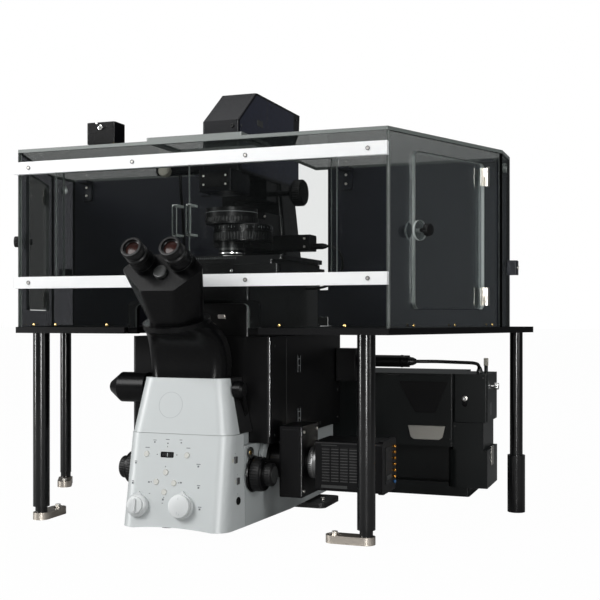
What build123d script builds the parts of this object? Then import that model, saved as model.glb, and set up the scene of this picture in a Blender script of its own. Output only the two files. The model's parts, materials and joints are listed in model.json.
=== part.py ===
from build123d import *
from math import atan2, cos, hypot, pi, radians, sin, tan
import os

# A research microscope that stands inside an acrylic enclosure on its own legs.
# Sizes are millimetres. X runs across, Y from front to back, Z up from the table top.
# Until the last lines, y = 0 is the front face of the acrylic; then all is centred on the footprint.

# Clearances
RUN = 0.05              # radial clearance of a shaft in its hole
SLIDE = 0.3             # clearance between sliding or neighbouring faces
DOOR_GAP = 1.5          # gap round a door in its opening

# Acrylic enclosure
FRONT_HALF = 350.0      # half the width of the front sheet
REAR_HALF = 484.0       # half the width behind the flared sides
FLARE_END = 309.0       # where the flared sides end
BOX_DEPTH = 398.0
BOX_HEIGHT = 325.0
SHEET = 6.0             # thickness of the acrylic and of the back panels

# Stand: its legs carry the base plates just above the body of the microscope
BODY_TOP_Z = 336.0
PLATE_CLEAR = 5.0       # between the body and the base plates
LEG_HEIGHT = BODY_TOP_Z + PLATE_CLEAR
PLATE_T = 11.0
PLATE_TOP = LEG_HEIGHT + PLATE_T
BOX_TOP = PLATE_TOP + BOX_HEIGHT
WALL_TOP = BOX_TOP - SHEET
PLATE_FRONT_Y = -4.0
PLATE_REAR_Y = BOX_DEPTH + SHEET
PLATE_MARGIN = 2.5      # how far the plates stand out past the flare line
LEG_R = 15.0
LEG_NECK_R = 11.0
LEG_NECK_H = 24.0
FRONT_LEG = (FRONT_HALF - 40.0, 15.0)
REAR_LEG = (REAR_HALF + 14.0, PLATE_REAR_Y - 18.0)
REAR_ROD_R = 12.0
SLEEVE_R = 16.5
SLEEVE_H = 108.0
CLAMP_L = 84.0
CLAMP_W = 30.0
CLAMP_T = 13.0
CLAMP_SLOT_W = 8.0
CLAMP_SLOT_L = 26.0
CLAMP_SCREW_R = 5.0
CLAMP_SCREW_T = 5.0

# Front doors and the rails that they slide in
DOOR_OPEN_HALF = FRONT_HALF - 96.0
DOOR_LAP = 12.0         # how far a closed door covers the sheet beside its opening
DOOR_HALF = DOOR_OPEN_HALF + DOOR_LAP
DOOR_T = 4.0
MEETING_GAP = 1.0       # between the two doors
RAIL_HALF = FRONT_HALF + 2.0
DOOR_TRAVEL = RAIL_HALF - DOOR_HALF - 2.0
RAIL_D = 11.0
RAIL_LIP = 2.0          # rail wall behind the door
LOWER_RAIL_Z = (PLATE_TOP + 70.0, PLATE_TOP + 91.0)
UPPER_RAIL_Z = (BOX_TOP - 47.0, BOX_TOP - 25.0)
RAIL_GROOVE = 12.5      # depth of the groove
RAIL_SCREW_IN = 32.0    # of the outer screws, from the end of the rail
RAIL_SCREW_X = 107.0    # of the inner screws
RAIL_SCREW_R = 3.2
RAIL_SCREW_T = 1.2
PULL_INSET = 13.0       # from the meeting edge to the middle of a pull
PULL_W = 8.0
PULL_BAR = 4.0
PULL_PROUD = 30.0
PULL_Z = (LOWER_RAIL_Z[1] + 64.0, UPPER_RAIL_Z[0] - 69.0)

# Notch in the front sheet for the microscope, and the collar behind it
NOTCH_HALF = 107.0
NOTCH_H = 41.0
NOTCH_R = 10.0
COLLAR_HALF = NOTCH_HALF + 18.0
COLLAR_TOP_Z = PLATE_TOP + NOTCH_H + 6.0
COLLAR_T = 9.0
PLATE_GAP_HALF = COLLAR_HALF + 2.0  # half the gap that the microscope rises through

# Side doors, measured along the flare from its front edge
SIDE_DOOR_S = (72.0, 278.0)
SIDE_DOOR_Z = (PLATE_TOP + 31.0, BOX_TOP - 31.0)
SIDE_DOOR_R = 11.0
HINGE_H = 32.0
HINGE_PIN_R = 2.0
HINGE_BARREL_R = 4.0
HINGE_LEAF_T = 2.0
HINGE_LEAF_L = 13.0
HINGE_Z = (SIDE_DOOR_Z[0] + 8.0, SIDE_DOOR_Z[1] - 9.0 - HINGE_H)    # foot of each hinge
LATCH_S = SIDE_DOOR_S[0] + 10.0
LATCH_Z = SIDE_DOOR_Z[0] + 131.0
LATCH_SHAFT_R = 3.0
LATCH_DISC_R = 17.0
LATCH_DISC_T = 4.0
LATCH_KNOB_R = 10.5
LATCH_KNOB_T = 10.0
LATCH_KNOB_OUT = 14.0       # from the door to the back of the knob

# Top and back of the enclosure
CUT_OUT = (-80.0, 90.0)     # sides of the cut-out in the top
HATCH_DEPTH = 133.0
HATCH_LAP = 6.0
BACK_OPEN_HALF = 118.0
SKIRT_HALF = 97.0
SKIRT_H = 73.0
SKIRT_T = 4.0
BRACKET_X = (BACK_OPEN_HALF + 40.0, REAR_HALF - 39.0)
BRACKET_W = 25.0
BRACKET_H = 43.0
BRACKET_T = 5.0
PANEL_CLAMP_Z = (PLATE_TOP + 98.0, PLATE_TOP + 125.0)
PANEL_CLAMP_Y = (BOX_DEPTH - 34.0, BOX_DEPTH - 8.0)
PANEL_CLAMP_T = 18.0
SIDE_PORT = (BOX_DEPTH - 45.0, BOX_TOP - 27.0)
SIDE_PORT_R = 9.0

# Indicator box on top
INDICATOR_X = (-210.0, -153.0)
INDICATOR_Y = (8.0, 46.0)
INDICATOR_H = 38.0
INDICATOR_FOOT_H = 3.0
INDICATOR_FOOT_R = 3.5

FLARE = REAR_HALF - FRONT_HALF
FLARE_LEN = hypot(FLARE, FLARE_END)
FLARE_COS = FLARE_END / FLARE_LEN
HINGE_OUT = HINGE_BARREL_R + SLIDE + 0.2
HINGE_S = SIDE_DOOR_S[1] - DOOR_GAP / 2

# The flared side as a drawing plane: x along the flare, y up, z outwards
FLARE_PLANE = Plane(
    origin=(FRONT_HALF, 0, 0),
    x_dir=(FLARE / FLARE_LEN, FLARE_COS, 0),
    z_dir=(FLARE_COS, -FLARE / FLARE_LEN, 0),
)


def box(x, y, z):
    """A block between two limits on each axis."""
    size = (x[1] - x[0], y[1] - y[0], z[1] - z[0])
    return Pos((x[0] + x[1]) / 2, (y[0] + y[1]) / 2, (z[0] + z[1]) / 2) * Box(*size)


def prism(points, z):
    """A closed plan outline raised between two heights."""
    face = make_face(Polyline(*points, close=True))
    return extrude(Pos(0, 0, z[0]) * face, z[1] - z[0], dir=(0, 0, 1))


def plate(x, y, z, r, axis=Axis.Z):
    """A block whose four edges along one axis are rounded."""
    block = box(x, y, z)
    return fillet(block.edges().filter_by(axis), r)


def rod(start, end, r):
    """A round bar between two points."""
    line = Vector(*end) - Vector(*start)
    return Plane(origin=start, z_dir=line) * Cylinder(
        r, line.length, align=(Align.CENTER, Align.CENTER, Align.MIN)
    )


def turned(profile, origin, direction):
    """A turned part: (radius, height) points revolved about an axis through the origin point."""
    face = make_face(Plane.XZ * Polyline(*profile, close=True))
    return Plane(origin=origin, z_dir=direction) * revolve(face, Axis.Z)


def on_left(solid):
    """The mirror image of a right-hand part."""
    return mirror(solid, about=Plane.YZ)


def flare_x(y, inset=0.0):
    """Half the width of the flared part at y, measured a given distance inside its outer face."""
    return FRONT_HALF + FLARE * y / FLARE_END - inset / FLARE_COS


def base_plates():
    rear = flare_x(PLATE_REAR_Y) + PLATE_MARGIN
    right = prism(
        [
            (PLATE_GAP_HALF, PLATE_FRONT_Y),
            (FRONT_HALF + PLATE_MARGIN, PLATE_FRONT_Y),
            (rear, PLATE_REAR_Y),
            (PLATE_GAP_HALF, PLATE_REAR_Y),
        ],
        (LEG_HEIGHT, PLATE_TOP),
    )
    return [right, on_left(right)]


def legs():
    """Two fixed front legs, and rear legs of which the right one stands in a telescopic sleeve."""
    parts = []
    for x in (-FRONT_LEG[0], FRONT_LEG[0]):
        parts.append(turned(leg_profile(LEG_R), (x, FRONT_LEG[1], 0), (0, 0, 1)))
    parts.append(turned(leg_profile(REAR_ROD_R), (-REAR_LEG[0], REAR_LEG[1], 0), (0, 0, 1)))
    foot = SLEEVE_H / 3
    parts.append(rod((REAR_LEG[0], REAR_LEG[1], foot), (REAR_LEG[0], REAR_LEG[1], LEG_HEIGHT), REAR_ROD_R))
    bore = REAR_ROD_R + RUN
    sleeve = [(0, 0), (SLEEVE_R, 0), (SLEEVE_R, SLEEVE_H), (bore, SLEEVE_H), (bore, foot), (0, foot)]
    parts.append(turned(sleeve, (REAR_LEG[0], REAR_LEG[1], 0), (0, 0, 1)))
    return parts


def leg_profile(r):
    return [(0, 0), (LEG_NECK_R, 0), (LEG_NECK_R, LEG_NECK_H), (r, LEG_NECK_H), (r, LEG_HEIGHT), (0, LEG_HEIGHT)]


def clamp_places():
    """Leg centre and direction of each foot clamp."""
    return [
        ((FRONT_LEG[0], FRONT_LEG[1]), 180.0),
        ((-FRONT_LEG[0], FRONT_LEG[1]), 90.0),
        ((-REAR_LEG[0], REAR_LEG[1]), -60.0),
    ]


def foot_clamps():
    """Steel bars that hold the necks of the legs, each with a slot for a bench screw."""
    outline = SlotCenterToCenter(CLAMP_L - CLAMP_W, CLAMP_W)
    bar = extrude(Pos((CLAMP_L - CLAMP_W) / 2, 0, 0) * outline, CLAMP_T)
    bar -= Cylinder(LEG_NECK_R + RUN, CLAMP_T * 3)
    slot = Pos(CLAMP_L - CLAMP_W, 0, 0) * SlotCenterToCenter(CLAMP_SLOT_L - CLAMP_SLOT_W, CLAMP_SLOT_W)
    bar -= extrude(slot, CLAMP_T)
    return [Pos(x, y, 0) * Rot(0, 0, turn) * bar for (x, y), turn in clamp_places()]


def front_panel():
    sheet = box((-FRONT_HALF, FRONT_HALF), (0, SHEET), (PLATE_TOP, WALL_TOP))
    sheet -= box((-DOOR_OPEN_HALF, DOOR_OPEN_HALF), (0, SHEET), (LOWER_RAIL_Z[1], UPPER_RAIL_Z[0]))
    notch = plate(
        (-NOTCH_HALF, NOTCH_HALF), (0, SHEET), (PLATE_TOP - 2 * NOTCH_R, PLATE_TOP + NOTCH_H), NOTCH_R, Axis.Y
    )
    return [sheet - notch]


def door_cutter(grow):
    """The rounded door shape on the flared side, a little larger than the door when it cuts its opening."""
    s = (SIDE_DOOR_S[0] - grow, SIDE_DOOR_S[1] + grow)
    z = (SIDE_DOOR_Z[0] - grow, SIDE_DOOR_Z[1] + grow)
    face = Pos((s[0] + s[1]) / 2, (z[0] + z[1]) / 2) * RectangleRounded(
        s[1] - s[0], z[1] - z[0], SIDE_DOOR_R + grow
    )
    return extrude(FLARE_PLANE * face, -SHEET)


def side_panels():
    """On each side, a flared sheet with the door opening and a short straight sheet with a cable port."""
    flared = prism(
        [
            (flare_x(SHEET), SHEET),
            (REAR_HALF, FLARE_END),
            (flare_x(FLARE_END, SHEET), FLARE_END),
            (flare_x(SHEET, SHEET), SHEET),
        ],
        (PLATE_TOP, WALL_TOP),
    )
    flared -= door_cutter(0)
    straight = box((REAR_HALF - SHEET, REAR_HALF), (FLARE_END, BOX_DEPTH - SHEET), (PLATE_TOP, WALL_TOP))
    straight -= rod((REAR_HALF - SHEET, *SIDE_PORT), (REAR_HALF, *SIDE_PORT), SIDE_PORT_R)
    return [flared, straight, on_left(flared), on_left(straight)]


def back_panels():
    """Black panels with their skirts, the brackets under the top and the clamps at the rear sides."""
    y = (BOX_DEPTH - SHEET, BOX_DEPTH)
    panel = box((BACK_OPEN_HALF, REAR_HALF), y, (PLATE_TOP, WALL_TOP))
    skirt_y = (y[0] - SKIRT_T, y[0])
    skirt = box((SKIRT_HALF, REAR_HALF - SHEET), skirt_y, (PLATE_TOP, PLATE_TOP + SKIRT_H))
    skirt -= box((SKIRT_HALF, PLATE_GAP_HALF), skirt_y, (PLATE_TOP, PLATE_TOP + SKIRT_H / 4))
    parts = [panel, skirt]
    for x in BRACKET_X:
        parts.append(corner_bracket(x, y[0]))
    clamp = box((REAR_HALF, REAR_HALF + PANEL_CLAMP_T), PANEL_CLAMP_Y, PANEL_CLAMP_Z)
    parts.append(fillet(clamp.edges().filter_by(Axis.Z).sort_by(Axis.X)[-2:], 3))
    return parts + [on_left(p) for p in parts]


def corner_bracket(x, wall_y):
    """An angle bracket with rounded lower corners, between the back panel and the top."""
    side = [
        (wall_y, WALL_TOP),
        (wall_y - BRACKET_W, WALL_TOP),
        (wall_y - BRACKET_W, WALL_TOP - BRACKET_T),
        (wall_y - BRACKET_T, WALL_TOP - BRACKET_T),
        (wall_y - BRACKET_T, WALL_TOP - BRACKET_H),
        (wall_y, WALL_TOP - BRACKET_H),
    ]
    face = make_face(Plane.YZ * Polyline(*side, close=True))
    angle = extrude(Pos(x - BRACKET_W / 2, 0, 0) * face, BRACKET_W, dir=(1, 0, 0))
    lower = angle.edges().filter_by(Axis.Y).group_by(Axis.Z)[0]
    return fillet(lower, BRACKET_W / 5)


def top_panels():
    """The top sheet with its cut-out open to the rear, and the loose hatch that closes the front of it."""
    outline = [
        (-FRONT_HALF, 0),
        (FRONT_HALF, 0),
        (REAR_HALF, FLARE_END),
        (REAR_HALF, BOX_DEPTH),
        (-REAR_HALF, BOX_DEPTH),
        (-REAR_HALF, FLARE_END),
    ]
    sheet = prism(outline, (WALL_TOP, BOX_TOP))
    sheet -= box(CUT_OUT, (SHEET, BOX_DEPTH), (WALL_TOP, BOX_TOP))
    hatch = box(
        (CUT_OUT[0] - HATCH_LAP, CUT_OUT[1] + HATCH_LAP), (0, HATCH_DEPTH), (BOX_TOP, BOX_TOP + SHEET)
    )
    return [sheet, fillet(hatch.edges().filter_by(Axis.Z), 4)]


def rails():
    """White rails whose grooves face each other and hold the doors."""
    lower = box((-RAIL_HALF, RAIL_HALF), (-RAIL_D, 0), LOWER_RAIL_Z)
    lower -= rail_groove((LOWER_RAIL_Z[1] - RAIL_GROOVE, LOWER_RAIL_Z[1]))
    upper = box((-RAIL_HALF, RAIL_HALF), (-RAIL_D, 0), UPPER_RAIL_Z)
    upper -= rail_groove((UPPER_RAIL_Z[0], UPPER_RAIL_Z[0] + RAIL_GROOVE))
    return [lower, upper]


def rail_groove(z):
    width = DOOR_T + 2 * SLIDE
    return box((-RAIL_HALF, RAIL_HALF), (-RAIL_LIP - width, -RAIL_LIP), z)


def front_door(side):
    """A sliding acrylic door and its clear pull."""
    inner, outer = MEETING_GAP / 2, DOOR_HALF
    x = (inner, outer) if side > 0 else (-outer, -inner)
    face_y = -RAIL_LIP - SLIDE - DOOR_T
    z = (LOWER_RAIL_Z[1] - RAIL_GROOVE + SLIDE, UPPER_RAIL_Z[0] + RAIL_GROOVE - 4 * SLIDE)
    sheet = box(x, (face_y, face_y + DOOR_T), z)
    pull_x = side * PULL_INSET
    loop = plate(
        (pull_x - PULL_W / 2, pull_x + PULL_W / 2), (face_y - PULL_PROUD, face_y + PULL_PROUD), PULL_Z, PULL_BAR,
        Axis.X,
    )
    loop -= box(
        (pull_x - PULL_W, pull_x + PULL_W),
        (face_y - PULL_PROUD + PULL_BAR, face_y),
        (PULL_Z[0] + PULL_BAR, PULL_Z[1] - PULL_BAR),
    )
    loop -= box((pull_x - PULL_W, pull_x + PULL_W), (face_y, face_y + PULL_PROUD), PULL_Z)
    return [sheet, loop]


def nose_collar():
    """The black surround behind the notch, with its foot between the base plates."""
    y = (SHEET + SLIDE, SHEET + SLIDE + COLLAR_T)
    outer = plate((-COLLAR_HALF, COLLAR_HALF), y, (LEG_HEIGHT - NOTCH_R * 2, COLLAR_TOP_Z), NOTCH_R, Axis.Y)
    inner = plate(
        (-NOTCH_HALF, NOTCH_HALF), y, (LEG_HEIGHT - NOTCH_R * 3, PLATE_TOP + NOTCH_H - SLIDE), NOTCH_R, Axis.Y
    )
    below = box((-COLLAR_HALF, COLLAR_HALF), y, (0, LEG_HEIGHT))
    return [outer - inner - below]


def in_flare(solid):
    """Places a part drawn in the axes of the flared side."""
    return FLARE_PLANE * solid


def hinge_half(z0, fixed):
    """Half of a butt hinge: a leaf on the acrylic face and its share of the barrel."""
    middle = z0 + HINGE_H / 2
    z = (z0, middle - SLIDE / 2) if fixed else (middle + SLIDE / 2, z0 + HINGE_H)
    s = (HINGE_S, HINGE_S + HINGE_LEAF_L) if fixed else (HINGE_S - HINGE_LEAF_L, HINGE_S)
    leaf = box(s, (z0, z0 + HINGE_H), (0, HINGE_LEAF_T))
    other = (z[1], z0 + HINGE_H) if fixed else (z0, z[0])
    clear = HINGE_BARREL_R + SLIDE
    leaf -= box((HINGE_S - clear, HINGE_S + clear), other, (0, HINGE_LEAF_T))
    barrel = rod((HINGE_S, z[0], HINGE_OUT), (HINGE_S, z[1], HINGE_OUT), HINGE_BARREL_R)
    web = box((HINGE_S - HINGE_BARREL_R, HINGE_S) if not fixed else (HINGE_S, HINGE_S + HINGE_BARREL_R), z, (0, HINGE_OUT))
    half = leaf + barrel + web
    half -= rod((HINGE_S, z0 - 1, HINGE_OUT), (HINGE_S, z0 + HINGE_H + 1, HINGE_OUT), HINGE_PIN_R + RUN)
    return in_flare(half)


def hinge_pin(z0):
    return in_flare(rod((HINGE_S, z0, HINGE_OUT), (HINGE_S, z0 + HINGE_H, HINGE_OUT), HINGE_PIN_R))


def side_door():
    """The right-hand side door with the hole for its latch."""
    door = door_cutter(-DOOR_GAP)
    door -= in_flare(rod((LATCH_S, LATCH_Z, -SHEET), (LATCH_S, LATCH_Z, 0), LATCH_SHAFT_R + RUN))
    return [door]


def side_latch():
    """A knob on a shaft through the door, with a clear disc outside and a washer inside."""
    back = -SHEET - SLIDE
    knob_top = LATCH_KNOB_OUT + LATCH_KNOB_T
    washer_r = LATCH_SHAFT_R * 2
    profile = [
        (0, back - 2),
        (washer_r, back - 2),
        (washer_r, back),
        (LATCH_SHAFT_R, back),
        (LATCH_SHAFT_R, SLIDE),
        (LATCH_DISC_R, SLIDE),
        (LATCH_DISC_R, SLIDE + LATCH_DISC_T),
        (LATCH_SHAFT_R, SLIDE + LATCH_DISC_T),
        (LATCH_SHAFT_R, LATCH_KNOB_OUT),
        (LATCH_KNOB_R - 2, LATCH_KNOB_OUT),
        (LATCH_KNOB_R, LATCH_KNOB_OUT + 2),
        (LATCH_KNOB_R, knob_top - 2),
        (LATCH_KNOB_R - 2, knob_top),
        (0, knob_top),
    ]
    return [in_flare(turned(profile, (LATCH_S, LATCH_Z, 0), (0, 0, 1)))]


def indicator_box():
    z0 = BOX_TOP + INDICATOR_FOOT_H
    case = plate(INDICATOR_X, INDICATOR_Y, (z0, z0 + INDICATOR_H), 3)
    parts = [case]
    inset = 3 * INDICATOR_FOOT_R
    y = (INDICATOR_Y[0] + INDICATOR_Y[1]) / 2
    for x in (INDICATOR_X[0] + inset, INDICATOR_X[1] - inset):
        parts.append(rod((x, y, BOX_TOP), (x, y, z0), INDICATOR_FOOT_R))
    return parts


# Microscope stand: console, chassis and body
SCOPE_X = -6.0          # middle plane of the microscope
CONSOLE_Z = (15.0, 172.0, BODY_TOP_Z - 70.0)    # foot, joint line and top of the white covers
CONSOLE_FRONT_Y = (-60.0, -32.0, -15.0)     # front face at those heights
CONSOLE_HALF = (97.0, 94.0, 81.0)           # half-widths at the front
CONSOLE_SPREAD = 7.0    # how much wider the lower console is at its rear
CONSOLE_CORNER_R = 26.0
CONSOLE_REAR_Y = 10.0
CONSOLE_ARCH = 4.0      # rise of the arch between the front feet
COVER_REAR_Y = 48.0
JOINT_LINE = 0.6        # open line between two covers
CHASSIS_HALF = 119.0
CHASSIS_WIDEN_Y = 189.0
CHASSIS_REAR_Y = 440.0
CHASSIS_TOP_Z = 152.0
FOOT_R = 16.0
FOOT_HALF = 52.0        # of the feet from the middle plane
FOOT_IN = 6.0           # of the feet from the ends of the chassis
OUTRIGGER_HALF = 152.0
OUTRIGGER_Y = (285.0, 385.0)
OUTRIGGER_T = 10.0
BODY_HALF = 134.0
BODY_Y = (50.0, 447.0)
BODY_CORNER_R = 6.0

# Controls on the sloping front: sideways from the middle and up the face
FRONT_KEYS = {
    "key_round_left": (-57.6, 124.3),
    "key_round_right": (18.5, 124.9),
    "key_up": (-18.7, 94.9),
    "key_left": (-35.3, 78.1),
    "key_right": (-2.1, 77.6),
    "key_down": (-18.9, 61.7),
}
KEY_R = 4.7
KEY_PROUD = 1.2
KEY_DEPTH = 4.0
KEY_TRAVEL = 1.0
DISPLAY_AT = (-18.8, 124.3)
DISPLAY_SIZE = (25.0, 10.0)
DISPLAY_DEPTH = 1.5
DIALS = {"dial_left": (-65.3, 37.3), "dial_right": (16.3, 40.0)}
DIAL_R = {"dial_left": 19.0, "dial_right": 21.0}
DIAL_H = 7.0
DIAL_CAP_R = 12.0
DIAL_CAP_H = 7.0
DIAL_SHAFT_R = 4.0
DIAL_SHAFT_L = 9.0
SIDE_KEYS = {"side_key_upper": (-16.0, 131.0), "side_key_lower": (-11.0, 95.0)}
SIDE_KEY_SIZE = (7.0, 9.0, 11.0)
SIDE_KEY_PROUD = 2.0

# Focus drive
FOCUS_AXIS = (38.0, 101.0)
FOCUS_SHAFT_R = 6.0
COARSE_R = 29.0
COARSE_T = 20.0
FINE_R = 19.5
FINE_T = 15.0
FINE_SHAFT_R = 3.0
FOCUS_BOSS_R = 17.0
FOCUS_BOSS_T = 4.0
FOCUS_TRAVEL = (-2.0, 8.0)

# Neck, binocular head and eyepieces
NECK_HALF = 70.0
NECK_Y = (-13.0, 46.0)
NECK_R = 24.0
NECK_SHOULDER = 36.0    # where the sides start to turn in, below the tube ring
NECK_LEAN = 10.0        # how far forward the neck has come there
RING_R = 57.0
RING_T = 8.0
RING_AT = (-38.0, BODY_TOP_Z + 22.0)
RING_TILT = 15.0
HEAD_TILT = 28.0        # rise of the eyepieces above the horizontal
PLATE_AT = (-95.0, BODY_TOP_Z + 106.0)
HEAD_WING = (76.0, 8.0)     # half-width of the head and how far above the middle of its face
HEAD_TOP = (46.0, 36.0)
HEAD_FOOT = (30.0, 33.0)
HEAD_CORNER_R = 7.0
EYE_HALF = 34.5         # half the distance between the eyepieces
EYE_UP = 18.0
TUBE_R = 21.0
TUBE_L = 24.0
EYEPIECE_R = 19.0
EYEPIECE_L = 30.0
EYEPIECE_SHANK_R = 15.0
EYE_LENS_R = 13.0
HEAD_CAP_R = 11.0
HEAD_CAP_T = 6.0

# Grips on both sides of the upper cover
GRIP_AT = (22.0, CONSOLE_Z[2] - 20.0)
GRIP_R = 26.5
GRIP_REACH = 161.0      # from the middle plane to the tip of the left grip
GRIP_CONE = 24.0
GRIP_TIP_R = 10.0
GRIP_ARM_W = 14.0
GRIP_ARM_OUT = (2.0, 9.0)   # faces of the arm, from the cover's side
GRIP_BENDS = [(0.0, 0.0), (19.0, -16.0), (26.0, -42.0)]
GRIP_HUB_R = 15.4
GRIP_HUB_L = 17.0

FRONT_SLOPE = atan2(CONSOLE_FRONT_Y[1] - CONSOLE_FRONT_Y[0], CONSOLE_Z[1] - CONSOLE_Z[0])

# The sloping front of the console as a drawing plane: x sideways, y up the face, z outwards
CONSOLE_PLANE = Plane(
    origin=(SCOPE_X, CONSOLE_FRONT_Y[0], CONSOLE_Z[0]),
    x_dir=(1, 0, 0),
    z_dir=(0, -cos(FRONT_SLOPE), sin(FRONT_SLOPE)),
)

# The face of the binocular head as a drawing plane: x sideways, y up the face, z towards the eye
EYE_DIR = (0, -cos(radians(HEAD_TILT)), sin(radians(HEAD_TILT)))
HEAD_PLANE = Plane(origin=(SCOPE_X, *PLATE_AT), x_dir=(1, 0, 0), z_dir=EYE_DIR)


def console_outline(z, front_y, half_front, rear_y, half_rear):
    """A plan section of the white covers, with rounded front corners."""
    points = [
        (SCOPE_X - half_front, front_y),
        (SCOPE_X + half_front, front_y),
        (SCOPE_X + half_rear, rear_y),
        (SCOPE_X - half_rear, rear_y),
    ]
    face = make_face(Polyline(*points, close=True))
    face = fillet(face.vertices().group_by(Axis.Y)[0], CONSOLE_CORNER_R)
    return Pos(0, 0, z) * face


def console_base():
    """The lower white console, with its arch, pockets for the controls and the display window."""
    rear = [half + CONSOLE_SPREAD for half in CONSOLE_HALF]
    body = loft(
        [
            console_outline(CONSOLE_Z[0], CONSOLE_FRONT_Y[0], CONSOLE_HALF[0], CONSOLE_REAR_Y, rear[0]),
            console_outline(CONSOLE_Z[1], CONSOLE_FRONT_Y[1], CONSOLE_HALF[1], CONSOLE_REAR_Y, rear[1]),
        ]
    )
    arch_half = CONSOLE_HALF[0] - CONSOLE_CORNER_R
    arch = ThreePointArc(
        (SCOPE_X - arch_half, CONSOLE_Z[0]),
        (SCOPE_X, CONSOLE_Z[0] + CONSOLE_ARCH),
        (SCOPE_X + arch_half, CONSOLE_Z[0]),
    )
    chord = Line((SCOPE_X + arch_half, CONSOLE_Z[0]), (SCOPE_X - arch_half, CONSOLE_Z[0]))
    body -= extrude(Plane.XZ * make_face([arch, chord]), CONSOLE_REAR_Y - CONSOLE_FRONT_Y[0], both=True)
    for at in FRONT_KEYS.values():
        body -= on_console(at, -KEY_DEPTH - KEY_TRAVEL - SLIDE, 0, KEY_R + SLIDE)
    for at in DIALS.values():
        body -= on_console(at, -DIAL_SHAFT_L - SLIDE, 0, DIAL_SHAFT_R + RUN)
    window = Pos(*DISPLAY_AT) * RectangleRounded(*DISPLAY_SIZE, 2)
    body -= extrude(CONSOLE_PLANE * window, -DISPLAY_DEPTH)
    for at in SIDE_KEYS.values():
        body -= side_key_block(at, SLIDE, SIDE_KEY_SIZE[0] + KEY_TRAVEL + SLIDE)
    body -= rod(
        (SCOPE_X - BODY_HALF, *FOCUS_AXIS), (SCOPE_X + BODY_HALF, *FOCUS_AXIS), FOCUS_BOSS_R + SLIDE
    )
    return [body]


def on_console(at, low, high, r):
    """A cylinder square to the sloping front, between two heights over it."""
    height = high - low
    return CONSOLE_PLANE * Pos(at[0], at[1], low) * Cylinder(
        r, height, align=(Align.CENTER, Align.CENTER, Align.MIN)
    )


def side_face_x(y, z):
    """X of the right-hand side of the lower console at a place on it."""
    rise = (z - CONSOLE_Z[0]) / (CONSOLE_Z[1] - CONSOLE_Z[0])
    half = CONSOLE_HALF[0] + (CONSOLE_HALF[1] - CONSOLE_HALF[0]) * rise
    front = CONSOLE_FRONT_Y[0] + (CONSOLE_FRONT_Y[1] - CONSOLE_FRONT_Y[0]) * rise
    return SCOPE_X + half + CONSOLE_SPREAD * (y - front) / (CONSOLE_REAR_Y - front)


def side_key_block(at, grow, depth):
    """A block in the console's right side: the pocket of a side key, or the key itself."""
    y, z = at
    outer = side_face_x(y, z) + SIDE_KEY_PROUD
    half_y, half_z = SIDE_KEY_SIZE[1] / 2 + grow, SIDE_KEY_SIZE[2] / 2 + grow
    return box((outer - SIDE_KEY_PROUD - depth, outer), (y - half_y, y + half_y), (z - half_z, z + half_z))


def side_key(at):
    key = side_key_block(at, 0, SIDE_KEY_SIZE[0])
    return [fillet(key.faces().sort_by(Axis.X)[-1].edges(), 1)]


def console_cover():
    """The upper white cover."""
    low = CONSOLE_Z[1] + JOINT_LINE
    share = JOINT_LINE / (CONSOLE_Z[2] - CONSOLE_Z[1])
    front = CONSOLE_FRONT_Y[1] + (CONSOLE_FRONT_Y[2] - CONSOLE_FRONT_Y[1]) * share
    cover = loft(
        [
            console_outline(low, front, CONSOLE_HALF[1], COVER_REAR_Y, CONSOLE_HALF[1] + CONSOLE_SPREAD),
            console_outline(CONSOLE_Z[2], CONSOLE_FRONT_Y[2], CONSOLE_HALF[2], COVER_REAR_Y, CONSOLE_HALF[2]),
        ]
    )
    return [cover]


def scope_chassis():
    """The grey base casting with its rubber feet and the outrigger plate at its rear."""
    start = CONSOLE_REAR_Y + JOINT_LINE
    narrow = CONSOLE_HALF[0] + CONSOLE_SPREAD
    outline = []
    for side in (-1, 1):
        half = [
            (SCOPE_X + side * narrow, start),
            (SCOPE_X + side * CHASSIS_HALF, CHASSIS_WIDEN_Y),
            (SCOPE_X + side * CHASSIS_HALF, CHASSIS_REAR_Y),
        ]
        outline += half if side > 0 else half[::-1]
    casting = prism(outline, (CONSOLE_Z[0], CHASSIS_TOP_Z))
    saddle = (SCOPE_X - CONSOLE_HALF[1], SCOPE_X + CONSOLE_HALF[1])
    casting += box(saddle, (start, COVER_REAR_Y), (CHASSIS_TOP_Z, CONSOLE_Z[1]))
    bore = rod((SCOPE_X - BODY_HALF, *FOCUS_AXIS), (SCOPE_X + BODY_HALF, *FOCUS_AXIS), FOCUS_SHAFT_R + RUN)
    for side in (-1, 1):
        face = SCOPE_X + side * (narrow + focus_widening())
        outer = SCOPE_X + side * focus_face()
        casting += rod((face - side * 12, *FOCUS_AXIS), (outer, *FOCUS_AXIS), FOCUS_BOSS_R)
    parts = [casting - bore]
    plate_x = (SCOPE_X - OUTRIGGER_HALF, SCOPE_X + OUTRIGGER_HALF)
    outrigger = plate(plate_x, OUTRIGGER_Y, (0, OUTRIGGER_T), 12)
    pad_x = (SCOPE_X - CHASSIS_HALF / 2, SCOPE_X + CHASSIS_HALF / 2)
    outrigger += box(pad_x, OUTRIGGER_Y, (OUTRIGGER_T, CONSOLE_Z[0]))
    parts.append(outrigger)
    inset = FOOT_R + FOOT_IN
    for side in (-1, 1):
        for y in (start + inset, CHASSIS_REAR_Y - inset):
            parts.append(foot(SCOPE_X + side * FOOT_HALF, y))
    return parts


def focus_widening():
    """How much wider the chassis is at the focus axis than at its front."""
    share = (FOCUS_AXIS[0] - CONSOLE_REAR_Y) / (CHASSIS_WIDEN_Y - CONSOLE_REAR_Y)
    return (CHASSIS_HALF - CONSOLE_HALF[0] - CONSOLE_SPREAD) * share


def focus_face():
    """Distance from the middle plane to the outer face of a focus boss."""
    return CONSOLE_HALF[0] + CONSOLE_SPREAD + focus_widening() + FOCUS_BOSS_T


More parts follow.
